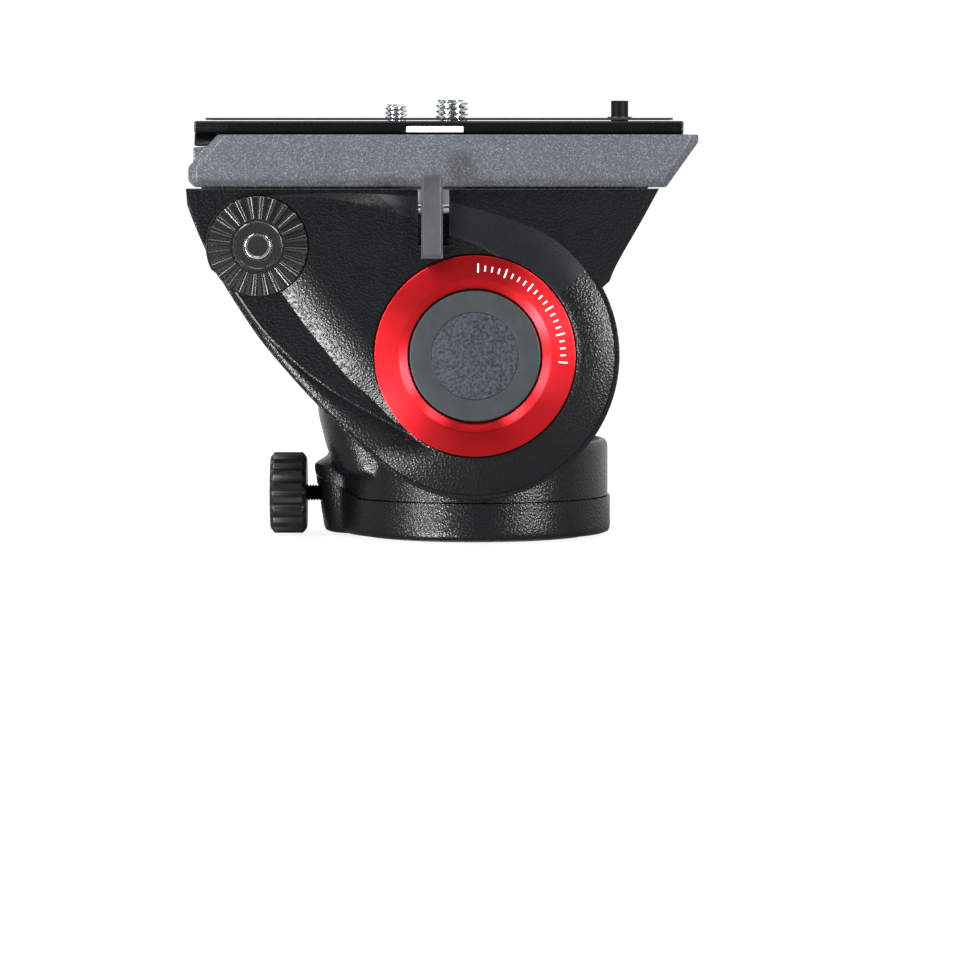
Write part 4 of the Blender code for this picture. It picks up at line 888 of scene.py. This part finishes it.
def raised_arm(side):
    """The arm as a closed solid: its face, the wide sloping band round it, a short riser and a flat back."""
    outer, inner = arm_outlines()
    crease = smooth_through(from_shares(crease_shares), crease_steps)
    points, faces, drop = arm_face(inset(inner, arm_edge), crease, side)
    count = len(outer)
    foot = cheek_base + arm_foot_rise
    rows = []
    for share in band_shares:
        bulge = band_bulge * math.sin(math.pi * share)
        row = []
        for (x0, z0), (x1, z1), down in zip(inner, outer, drop):
            top = cheek_face - down - arm_edge_drop
            y = top + (foot - top) * share + bulge
            row.append((x0 + (x1 - x0) * share, side * y, z0 + (z1 - z0) * share))
        rows.append(row)
    rows.append(along_y(outer, side * (foot - arm_riser)))
    rows.append(along_y(outer, side * (cheek_base - arm_root)))
    last = list(range(count))
    satin_painted_light_faces = []
    for row in rows:
        first = len(points)
        points += row
        for index in range(count):
            after = (index + 1) % count
            (x0, z0), (x1, z1) = inner[index], outer[index]
            # Upward-facing band faces take the smoother coat, painted lighter as light falling from above
            if z1 - z0 > satin_painted_light_share * math.hypot(x1 - x0, z1 - z0):
                satin_painted_light_faces.append(len(faces))
            faces.append([last[index], last[after], first + after, first + index])
        last = list(range(first, first + count))
    faces.append(last)
    arm = bare("raised_arm", points, faces, "black_casting")
    arm.data.materials.append(finishes["machined_alloy"])
    arm.data.materials.append(finishes["satin_black_painted_light"])
    for index in satin_painted_light_faces:
        arm.data.polygons[index].material_index = 2
    return arm


def cheek_rooms(side):
    """The seats of ring and rosette and the bores of axle and bush, which both cheeks have."""
    reach = ring_radius + seat_gap
    beyond = cheek_face + overrun
    seat = turned("seat", [
        (0, cheek_face - ring_seat_depth), (reach, cheek_face - ring_seat_depth),
        (reach, cheek_face - chamfer_drop), (reach + ring_chamfer, cheek_face - chamfer_drop + ring_chamfer),
        (reach + ring_chamfer, beyond), (0, beyond)], "black_casting", 160)
    teeth = turned("rosette_seat", rod(rosette_radius + seat_gap, cheek_base + rosette_seat_rise, beyond),
                   "black_casting", 96)
    bore = turned("bore", rod(axle_radius, cheek_inner - overrun, cheek_face), "black_casting", 48)
    bush = turned("bush_room", rod(bush_radius, cheek_inner - overrun, cheek_face), "black_casting", 48)
    return [facing_y(seat, side), facing_y(teeth, side, rosette_x, rosette_z), facing_y(bore, side),
            facing_y(bush, side, rosette_x, rosette_z)]


def lever_rooms(side):
    """What the right cheek has for the plate lever: a bright slot, the pin's hole and the jaw stem's bore."""
    slot = box("slot", (slot_x - slot_half_width, -cheek_face - overrun, slot_bottom_z),
               (slot_x + slot_half_width, slot_wall - cheek_inner, cheek_top_z + overrun), "black_casting")
    slot.data.materials.append(finishes["machined_alloy"])
    slot.data.polygons.foreach_set("material_index", [1] * len(slot.data.polygons))
    pin = turned("pin_room", rod(lever_pin_radius, -lever_pin_reach, lever_pin_reach), "black_casting", 24)
    pin.data.transform(Matrix.Rotation(math.radians(90), 4, "Y"))
    pin.location = (slot_x, middle("plate_lever_pin").y, middle("plate_lever_pin").z)
    stem = turned("stem_room", rod(jaw_stem_radius + play, head_flange_inner - cheek_rim, cheek_face),
                  "black_casting", 24)
    return [slot, pin, facing_y(stem, side, slot_x, cheek_top_z - jaw_stem_drop)]


def make_cheek(side, word):
    """The cheek's plate with its rounded rim, the head flange inside it and the raised arm outside it."""
    outline = cheek_outline()
    rows = [(cheek_inner, cheek_rim), (cheek_inner + cheek_rim, 0)]
    for step in range(5):
        turn = math.pi / 2 * step / 4
        rows.append((cheek_base - cheek_rim * (1 - math.sin(turn)), cheek_rim * (1 - math.cos(turn))))
    loops = [along_y(inset(outline, pulled) if pulled else outline, side * y) for y, pulled in rows]
    cheek = lofted(f"{word}_cheek_shell", loops, "black_casting")
    cheek.data.materials.append(finishes["machined_alloy"])
    cheek.data.materials.append(finishes["satin_black_painted_light"])
    low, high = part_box(f"{word}_cheek")
    near, far = sorted((side * head_flange_inner, side * (cheek_inner + cheek_rim)))
    flange = box("flange", (low.x + flange_inset, near, cheek_top_z - head_flange_depth),
                 (high.x - flange_inset, far, cheek_top_z - play), "black_casting")
    boolean(cheek, [raised_arm(side), flange], "UNION")
    rooms = cheek_rooms(side)
    if side < 0:
        rooms += lever_rooms(side)
    boolean(cheek, rooms, "DIFFERENCE")
    creased(cheek, 17)
    dressed(cheek, "tilt_body", "black_casting", f"{word}_cheek")


def make_rosette(side, word):
    """The toothed face: flat-topped teeth that run out from the centre and deepen with radius."""
    floor, face = depths(f"{word}_rosette")

    def ring(radius, height, depth=0):
        loop = []
        for tooth in range(rosette_teeth):
            for share, down in tooth_shares:
                turn = math.tau * (tooth + share) / rosette_teeth
                loop.append((radius * math.cos(turn), radius * math.sin(turn), height - depth * down))
        return loop

    crest = face - crest_inset
    boss = face - boss_inset
    groove = crest - tooth_depth * groove_share
    inner = rosette_boss_radius + rosette_groove
    loops = [
        ring(rosette_radius, floor),
        ring(rosette_radius, crest - tooth_depth - tooth_rim),
        ring(rosette_radius, crest - tooth_rim, tooth_depth),
        ring(rosette_radius - tooth_tip, crest, tooth_depth),
        ring(inner, crest, tooth_depth * (inner / rosette_radius)),
        ring(inner, groove),
        ring(rosette_boss_radius, groove),
    ]
    loops += [ring(rosette_boss_radius - inwards * MM, boss - down * MM) for inwards, down in boss_rim]
    loops += [ring(bush_radius + outwards * MM, boss - down * MM) for outwards, down in bush_rim]
    toothed = lofted(f"{word}_rosette_teeth", loops, "toothed_black", 24)
    facing_y(toothed, side, rosette_x, rosette_z)
    dressed(toothed, "tilt_body", "black_casting", f"{word}_rosette")


def make_ring(side, word):
    """The turned drag ring with a bevel falling inwards, the cap inside it and the right cap's inlay."""
    seat, face = depths(f"{word}_drag_ring")
    profile = [(ring_inner_radius, seat), (ring_radius, seat), (ring_radius, face), (ring_flat_radius, face),
               (ring_inner_radius, face - ring_bevel_drop)]
    ring = turned(f"{word}_drag_ring_turned", rounded(profile, ring_rim), "red_anodised", 192, 24)
    dressed(facing_y(ring, side), "tilt_body", "red_anodised", f"{word}_drag_ring")
    seat, face = depths(f"{word}_cap")
    if side < 0:
        room = inlay_radius + inlay_gap
        profile = [(0, seat), (cap_radius, seat), (cap_radius, face), (room, face),
                   (room, face - inlay_depth), (0, face - inlay_depth)]
    else:
        profile = tube(middle(f"{word}_cap").x + lever_bore_radius, cap_radius, seat, face)
    cap = turned(f"{word}_cap_moulded", rounded(profile, moulded_rim), "charcoal_plastic", 160, 24)
    dressed(facing_y(cap, side), "tilt_body", "charcoal_plastic", f"{word}_cap")
    if side < 0:
        profile = rod(inlay_radius, face - inlay_back, face - inlay_sink)
        inlay = turned("right_inlay_disc", rounded(profile, fine_rim), "inlay", 128, 24)
        dressed(facing_y(inlay, side), "tilt_body", "charcoal_plastic", "right_inlay")


def make_bushes(side, word):
    """The steel bush in a rosette, with a blind threaded bore."""
    near, far = depths(f"{word}_rosette_bush")
    bush = turned(f"{word}_bush_turned", rounded(rod(bush_radius, near, far), metal_rim), "zinc_steel", 64)
    # The hole's cutter takes dark steel, as painted shade on the bore's walls
    hole = threaded("bush_hole_painted_shade", rosette_thread_radius, rosette_thread_pitch, near + rosette_thread_floor,
                    far + rosette_thread_pitch, "black_steel")
    mouth = cone(rosette_thread_radius - mouth_chamfer, rosette_thread_radius + mouth_chamfer,
                 far - mouth_depth, far + mouth_rise)
    boolean(bush, [hole, turned("bush_mouth", mouth, "zinc_steel", 64)], "DIFFERENCE")
    creased(bush, 30)
    facing_y(bush, side, rosette_x, rosette_z)
    dressed(bush, "tilt_body", "zinc_steel", f"{word}_rosette_bush")


def make_scale(side, word):
    """White marks of a plain drag scale on the ring's face, long ones between short ones."""
    face = depths(f"{word}_drag_ring")[1]
    half = scale_width / 2
    marks = []
    for index in range(scale_marks):
        turn = math.radians(scale_start - scale_step * index)
        length = scale_long if index % 4 == 0 else scale_short
        near, far = scale_radius - length / 2, scale_radius + length / 2
        out, across = Vector((math.cos(turn), math.sin(turn))), Vector((-math.sin(turn), math.cos(turn)))
        spots = ((near, -half), (far, -half), (far, half), (near, half))
        corners = [out * reach + across * over for reach, over in spots]
        loops = [at_height(corners, z) for z in (face - ink_root, face + ink_height)]
        marks.append(lofted("mark", loops, "white_ink"))
    scale = facing_y(merged(f"{word}_drag_scale", *marks), side)
    if side > 0:
        scale.data.transform(Matrix.Scale(-1, 4, (1, 0, 0)))
        scale.data.flip_normals()
    dressed(scale, "tilt_body", "red_anodised")


def tongue(reach, half_width):
    """Plan of the pan lock boss, a tongue towards the rear with a round end."""
    upper = smooth_through([(-reach * along, half_width * across) for along, across in tongue_shares], 40)
    return upper + [(x, -y) for x, y in reversed(upper[:-1])]


def pan_boss(name):
    """The pan lock boss from the skirt's foot up to where it runs into the round base."""
    sections = (
        (skirt_bottom, boss_foot_reach, boss_half_width),
        (boss_top_z, boss_reach, (boss_half_width + boss_top_half_width) / 2),
        (boss_top_z + boss_slope, housing_radius + boss_slope, boss_top_half_width),
    )
    loops = []
    for (z0, reach0, width0), (z1, reach1, width1) in zip(sections, sections[1:]):
        for share in (step / 8 for step in range(8)):
            plan = tongue(reach0 + (reach1 - reach0) * share, width0 + (width1 - width0) * share)
            loops.append(at_height(plan, z0 + (z1 - z0) * share))
    z, reach, width = sections[-1]
    loops.append(at_height(tongue(reach, width), z))
    return lofted(name, loops, "black_casting")


def seam_block(name, lift, above):
    """All above or below the seam, which runs level round the base and climbs along the boss."""
    seam = seam_z + lift
    wide = skirt_radius + overrun
    far = housing_ledge_z + overrun if above else -overrun
    climb = [(seam_root_x, seam), (seam_tip_x, seam + seam_rise)]
    outline = [(seam_tip_x, far), (wide, far), (wide, seam), *climb]
    return lofted(name, [along_y(outline, y) for y in (-wide, wide)], "black_casting")


def shoe_room(name):
    low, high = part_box("pan_brake_shoe")
    return box(name, low - shoe_play, high + shoe_play, "black_casting")


def screw_room(name):
    return laid_back(turned(name, rod(lock_bore_radius, *lock_bore_reach), "black_casting", 40))


def neck_shape():
    """The neck, whose section across the head narrows towards both sides."""
    outline = from_shares(neck_outline_shares)
    inner = outline[0][0]
    outline = smooth_through(outline, 70)
    loops = []
    for step in range(neck_rows + 1):
        share = math.sin(math.pi / 2 * (2 * step / neck_rows - 1))
        fullness = max(neck_least_share, (1 - abs(share) ** 3) ** (1 / 3))
        narrowed = [(inner + (x - inner) * fullness, z) for x, z in outline]
        loops.append(along_y(narrowed, share * neck_half_width))
    return lofted("neck", loops, "black_casting")


def housing_rooms():
    """All that is cut out of the housing: what lies below the seam, its cavity, wells and small rooms."""
    nut_top = middle("spindle_nut").z + nut_room_rise
    bush_low, bush_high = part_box("pan_bush")
    cavity = turned("cavity", [
        (0, -overrun), (housing_bore_radius, -overrun), (housing_bore_radius, bush_low.z - play),
        (pan_bush_room_radius, bush_low.z - play), (pan_bush_room_radius, bush_high.z),
        (nut_room_radius, bush_high.z), (nut_room_radius, nut_top), (0, nut_top)], "black_casting", 96)
    axle = turned("axle_room", rod(axle_room_radius, -drum_half_width, drum_half_width), "black_casting", 64)
    rooms = [seam_block("seam_room", play, False), cavity, facing_y(axle, 1), shoe_room("shoe_room"),
             screw_room("screw_room")]
    for side in (-1, 1):
        well = rod(drum_well_radius, drum_well_floor, drum_half_width + overrun)
        rooms.append(facing_y(turned("well", well, "black_casting", 96), side))
    seat = rod(bubble_room_radius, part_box("bubble_cup")[0].z - play, housing_ledge_z + overrun)
    rooms.append(turned("bubble_seat", seat, "black_casting", 48))
    rooms[-1].location.x = middle("bubble_cup").x
    return rooms


def make_housing():
    """The housing and its skirt: round base, drum, neck and lock boss cast in one and parted at the seam."""
    profile = rounded(rod(housing_radius, skirt_bottom, housing_ledge_z), ledge_rim, 6)
    round_base = turned("round_base", profile, "black_casting", 160)
    profile = rounded(rod(drum_radius, -drum_half_width, drum_half_width), drum_rim, 5)
    drum = facing_y(turned("drum", profile, "black_casting", 160), 1)
    shapes = (round_base, drum, neck_shape(), pan_boss("boss"))
    housing = cast_together("housing_casting", shapes, "black_casting")
    boolean(housing, housing_rooms(), "DIFFERENCE")
    creased(housing, 40)
    dressed(housing, "pan_body", "black_casting", "pan_housing")

    wall = rounded(tube(skirt_inner, skirt_radius, skirt_bottom, seam_z + seam_rise), skirt_rim, 5)
    ring = turned("skirt_ring", wall, "black_casting", 160)
    skirt = cast_together("skirt_casting", (ring, pan_boss("boss_foot")), "black_casting")
    room = turned("skirt_room", rod(skirt_inner, -overrun, housing_ledge_z), "black_casting", 128)
    boolean(skirt, [seam_block("skirt_top", 0, True), room, shoe_room("skirt_shoe_room"),
                    screw_room("skirt_screw_room")], "DIFFERENCE")
    creased(skirt, 40)
    dressed(skirt, "pan_body", "black_casting", "housing_skirt")


def make_base():
    """The bright base disc with its hub, and the tripod bush with a real thread."""
    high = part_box("base_plate")[1]
    bush_low, bush_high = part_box("tripod_thread_bush")
    seat, shaft = bush_high.x + seat_gap, spindle_radius + seat_gap
    profile = [(seat, 0), (high.x - base_edge, 0), (high.x, base_edge), (high.x, base_height - base_edge),
               (high.x - base_edge, base_height), (hub_radius, base_height), (hub_radius, high.z - base_edge),
               (hub_radius - base_edge, high.z), (shaft, high.z), (shaft, bush_high.z + seat_gap),
               (seat, bush_high.z + seat_gap)]
    base = turned("base_disc", rounded(profile, metal_rim), "machined_alloy", 192)
    dressed(base, "base", "machined_alloy", "base_plate")
    profile = rod(bush_high.x, bush_low.z, bush_high.z)
    bush = turned("tripod_bush", rounded(profile, metal_rim), "zinc_steel", 64)
    hole = threaded("tripod_hole", tripod_thread_radius, coarse_pitch, tripod_thread_start,
                    tripod_thread_depth, "zinc_steel")
    boolean(bush, [hole], "DIFFERENCE")
    creased(bush, 30)
    dressed(bush, "base", "zinc_steel", "tripod_thread_bush")


def ribs(radius, height, shrink):
    """A knob's outline at one height: flat ribs between round grooves that fade out where it shrinks."""
    loop = []
    for step in range(knob_ribs * rib_steps):
        place = (step % rib_steps) / rib_steps
        groove = max(0.0, (place - rib_share) / (1 - rib_share))
        reach = radius - shrink - knob_groove * math.sin(math.pi * groove) * max(0.0, 1 - shrink / rib_fade)
        turn = math.tau * step / (knob_ribs * rib_steps)
        loop.append((reach * math.cos(turn), reach * math.sin(turn), height))
    return loop


def make_pan_lock():
    """The ribbed knob with its dished end, and the threaded screw that it turns."""
    low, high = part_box("pan_lock_knob")
    near, far = -high.x, -low.x
    half_way = (near + far) / 2
    radius = (high.z - low.z) / 2
    loops = [ribs(radius, near + along * MM, inwards * MM) for along, inwards in knob_rim]
    loops += [ribs(radius, far - along * MM, inwards * MM) for along, inwards in knob_rim[::-1]]
    knob = lofted("knob_moulded", loops, "black_plastic", 28)
    room = turned("knob_room", rod(lock_bore_radius, near - overrun, half_way), "black_plastic", 32)
    boolean(knob, [dish("knob_dish", radius, far, knob_dish, 64), room], "DIFFERENCE")
    creased(knob, 28)
    dressed(laid_back(knob), "pan_knob", "black_plastic", "pan_lock_knob")
    start = -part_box("pan_lock_screw")[1].x
    screw = threaded("lock_screw_threaded", lock_screw_radius, lock_screw_pitch, start,
                     half_way - lock_screw_gap, "black_steel")
    dressed(laid_back(screw), "pan_knob", "zinc_steel", "pan_lock_screw")


def make_camera_screw(word, radius, pitch):
    """A camera screw with a round slotted head and a real thread."""
    name = f"{word}_camera_screw"
    low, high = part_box(name)
    head_radius = radius_of(name)
    reach = head_radius + overrun
    profile = rounded(rod(head_radius, low.z, low.z + screw_head_height), screw_head_rim)
    head = turned(f"{word}_screw_head", profile, "zinc_steel", 72)
    thread = threaded(f"{word}_screw_rod", radius, pitch, low.z + screw_thread_start, high.z, "zinc_steel")
    groove = box("groove", (-reach, -screw_slot_half_width, low.z - overrun),
                 (reach, screw_slot_half_width, low.z + screw_slot_depth), "zinc_steel")
    boolean(head, [thread], "UNION")
    boolean(head, [groove], "DIFFERENCE")
    creased(head, 30)
    head.location.x = middle(name).x
    dressed(head, f"{word}_screw", "zinc_steel", name)


def make_pin():
    """The sprung anti-twist pin and the collar that guides it in the plate."""
    low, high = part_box("anti_twist_pin")
    collar, top = radius_of("anti_twist_pin"), low.z + pin_collar_height
    profile = [(0, low.z), (collar, low.z), (collar, top), (pin_radius, top), (pin_radius, high.z),
               (0, high.z)]
    pin = turned("pin_turned", rounded(profile, pin_rim), "matt_black", 64)
    pin.location.x = middle("anti_twist_pin").x
    dressed(pin, "pin", "black_plastic", "anti_twist_pin")
    low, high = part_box("pin_bush")
    outer, inner = radius_of("pin_bush"), pin_radius + seat_gap
    profile = [(inner, low.z), (outer, low.z), (outer, low.z + pin_bush_edge),
               (inner + pin_bush_edge, high.z), (inner, high.z)]
    bush = turned("pin_collar", rounded(profile, fine_rim), "black_plastic", 64)
    bush.location.x = middle("pin_bush").x
    dressed(bush, "plate", "black_plastic", "pin_bush")


def make_catch():
    """The red safety catch, a round button with a flange inside the wall."""
    low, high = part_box("safety_catch")
    near, far = (low.y + along for along in catch_flange)
    flange = radius_of("safety_catch")
    profile = [(0, low.y), (catch_radius, low.y), (catch_radius, near), (flange, near), (flange, far),
               (catch_radius, far), (catch_radius, high.y), (0, high.y)]
    button = turned("catch_button", rounded(profile, moulded_rim), "safety_red", 64)
    place = middle("safety_catch")
    dressed(facing_y(button, 1, place.x, place.z), "catch", "safety_red", "safety_catch")


def make_bubble():
    """The bubble level: a moulded cup, a domed vial, its mark and the bubble."""
    low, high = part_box("bubble_cup")
    place = middle("bubble_cup").x
    radius = radius_of("bubble_cup")
    inner, floor = radius - bubble_wall, low.z + bubble_wall
    profile = [(0, low.z), (radius, low.z), (radius, high.z), (inner, high.z), (inner, floor), (0, floor)]
    cup = turned("bubble_cup_turned", rounded(profile, cup_rim), "black_plastic", 72)
    cup.location.x = place
    dressed(cup, "pan_body", "black_plastic", "bubble_cup")
    low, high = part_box("bubble_vial")
    radius, top = radius_of("bubble_vial"), high.z
    dome = []
    for step in range(dome_steps, 0, -1):
        turn = math.pi / 2 * step / dome_steps
        dome.append((radius * math.sin(turn), top - dome_height + dome_height * math.cos(turn)))
    vial = turned("bubble_vial_turned", [(0, low.z), (radius, low.z), *dome, (0, top)], "level_liquid", 72)
    vial.location.x = place
    dressed(vial, "pan_body", "level_liquid", "bubble_vial")
    mark = turned("bubble_mark", tube(*mark_radii, top - mark_depth, top), "black_plastic", 48)
    profile = [(0, top - air_depth), (air_radius, top - air_depth), (air_top_radius, top - air_rim), (0, top)]
    air = turned("bubble_air", profile, "pale_plastic", 48)
    for piece, across in ((mark, 0.0), (air, air_offset)):
        piece.location.x = place + across
        dressed(piece, "pan_body", "level_liquid")


def make_tilt_lever():
    """The far side's lock lever, a moulded hub with one arm that tapers to a round end."""
    low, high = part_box("tilt_lock_lever")
    near, far = low.y, high.y
    back = far - tilt_lever_thickness
    hub = turned("lever_hub", rounded(rod(tilt_hub_radius, near, far), hub_rim, 5), "black_plastic", 96)
    end = arc((tilt_lever_length, 0), tilt_lever_end_radius, -90, 90, 24)
    outline = [(0, -tilt_lever_root), *end, (0, tilt_lever_root)]
    edge = inset(outline, tilt_lever_edge)
    front = far - tilt_lever_sink
    heights = (back, back + tilt_lever_edge, front - tilt_lever_edge, front)
    loops = [at_height(line, z) for line, z in zip((edge, outline, outline, edge), heights)]
    arm = lofted("lever_arm", loops, "black_plastic")
    arm.data.transform(Matrix.Rotation(math.radians(-tilt_lever_degrees), 4, "Z"))
    lever = cast_together("tilt_lever_moulded", (hub, arm), "black_plastic", tilt_lever_grain,
                          tilt_lever_softness)
    room = turned("lever_room", rod(lever_bore_radius, near - overrun, back), "black_plastic", 48)
    boolean(lever, [room, dish("lever_dish", tilt_hub_radius, far, lever_dish, 96)], "DIFFERENCE")
    creased(lever, 35)
    dressed(facing_y(lever, 1), "tilt_lever", "black_plastic", "tilt_lock_lever")


def soften_cad_nodes():
    """Some carried-over solids get rounded edges, and flat faces that stay flat in the light."""
    for name, width in softened_edges:
        obj = frame["nodes"][name]
        obj.modifiers.new("weld", "WELD").merge_threshold = weld_gap
        edge = obj.modifiers.new("edge", "BEVEL")
        edge.width = width * MM
        edge.segments = 3
        edge.limit_method = "ANGLE"
        edge.angle_limit = math.radians(30)
        edge.harden_normals = False
        obj.modifiers.new("normals", "WEIGHTED_NORMAL").keep_sharp = True
        obj.data.shade_smooth()


def finish_cad_nodes():
    """Every carried-over solid takes its slot's finish."""
    for name, obj in frame["nodes"].items():
        obj.data.materials.clear()
        obj.data.materials.append(finishes[slot_of[name]])


def make_camera():
    data = bpy.data.cameras.new("camera")
    data.sensor_width = sensor_width
    data.lens = sensor_width * focal_px / image_side_px
    data.clip_start = 0.1
    data.clip_end = 20.0
    camera = placed("camera", data)
    half = image_side_px / 2
    pitch = math.atan((half - horizon_px) / focal_px)
    yaw = math.atan((half - pan_axis_px) / focal_px)
    camera.location = (0, -camera_distance, camera_height)
    camera.rotation_euler = (math.pi / 2 - pitch, 0, -yaw)
    bpy.context.scene.camera = camera


def make_lamps():
    """Softboxes. The lowest one shines through the floor, so only its direct light is sampled."""
    for name, place, target, width, height, power in softboxes:
        data = bpy.data.lights.new(name, "AREA")
        data.shape = "RECTANGLE"
        data.size = width
        data.size_y = height
        data.energy = power
        lamp = placed(name, data)
        lamp.location = place
        lamp.rotation_euler = (Vector(target) - Vector(place)).to_track_quat("-Z", "Y").to_euler()
        lamp.visible_camera = False
    bpy.data.lights["table_softbox"].cycles.use_multiple_importance_sampling = False


def eased(tree, value, start, end, low, high):
    """Goes softly from low to high while the value goes from start to end."""
    made = tree.nodes.new("ShaderNodeMapRange")
    made.interpolation_type = "SMOOTHSTEP"
    for socket, number in (("From Min", start), ("From Max", end), ("To Min", low), ("To Max", high)):
        made.inputs[socket].default_value = number
    tree.links.new(value, made.inputs["Value"])
    return made.outputs["Result"]


def combined(tree, operation, first, second):
    made = tree.nodes.new("ShaderNodeMath")
    made.operation = operation
    tree.links.new(first, made.inputs[0])
    tree.links.new(second, made.inputs[1])
    return made.outputs[0]


def make_world():
    """A white backdrop behind the head, and a dim room on the camera's side of it."""
    world = bpy.data.worlds.new("studio")
    bpy.context.scene.world = world
    world.use_nodes = True
    tree = world.node_tree
    back = tree.nodes["Background"]
    back.inputs["Color"].default_value = (1, 1, 1, 1)
    apart = tree.nodes.new("ShaderNodeSeparateXYZ")
    tree.links.new(tree.nodes.new("ShaderNodeTexCoord").outputs["Generated"], apart.inputs[0])
    room = eased(tree, apart.outputs["Y"], -0.20, 0.40, room_light, backdrop_light)
    rays = tree.nodes.new("ShaderNodeLightPath").outputs
    seen = combined(tree, "MAXIMUM", rays["Is Camera Ray"], rays["Is Transmission Ray"])
    strength = tree.nodes.new("ShaderNodeMix")
    tree.links.new(seen, strength.inputs[0])
    tree.links.new(room, strength.inputs[2])
    strength.inputs[3].default_value = 1.0
    tree.links.new(strength.outputs[0], back.inputs["Strength"])


def make_floor():
    """A pale floor, whose own white for the camera grows away from the head, so that it has no far edge."""
    mesh = bpy.data.meshes.new("floor")
    size = floor_half_width
    corners = [(-size, -size, 0), (size, -size, 0), (size, size, 0), (-size, size, 0)]
    mesh.from_pydata(corners, [], [(0, 1, 2, 3)])
    floor = placed("floor", mesh)
    floor.location.z = -floor_gap
    made = Graph("floor")
    tree = made.tree
    made.vary("Base Color", made.noise(60.0), 0.28, 0.30)
    made.set(roughness=0.9, specular_ior_level=0.0, emission_color=(1, 1, 1, 1))
    reach = made.add("ShaderNodeVectorMath", operation="LENGTH")
    made.link(made.place, reach.inputs[0])
    glow = eased(tree, reach.outputs["Value"], 0.08, 0.35, 0.86, 1.0)
    apart = made.add("ShaderNodeSeparateXYZ")
    made.link(made.place, apart.inputs[0])
    behind = eased(tree, apart.outputs["Y"], 0.0, 0.25, room_light, 0.6)
    rays = made.add("ShaderNodeLightPath").outputs
    mirrored = combined(tree, "MULTIPLY", rays["Is Glossy Ray"], behind)
    seen = combined(tree, "MAXIMUM", rays["Is Camera Ray"], mirrored)
    made.drive("Emission Strength", combined(tree, "MULTIPLY", seen, glow))
    mesh.materials.append(made.material)
    floor.visible_shadow = False


finish_cad_nodes()
for side, word in ((-1, "right"), (1, "left")):
    make_cheek(side, word)
    make_rosette(side, word)
    make_ring(side, word)
    make_bushes(side, word)
    make_scale(side, word)
make_housing()
make_base()
make_pan_lock()
for word, radius, pitch in camera_screws:
    make_camera_screw(word, radius, pitch)
make_pin()
make_catch()
make_bubble()
make_tilt_lever()
soften_cad_nodes()
make_camera()
make_lamps()
make_world()
make_floor()
bpy.context.scene.view_settings.view_transform = "Standard"
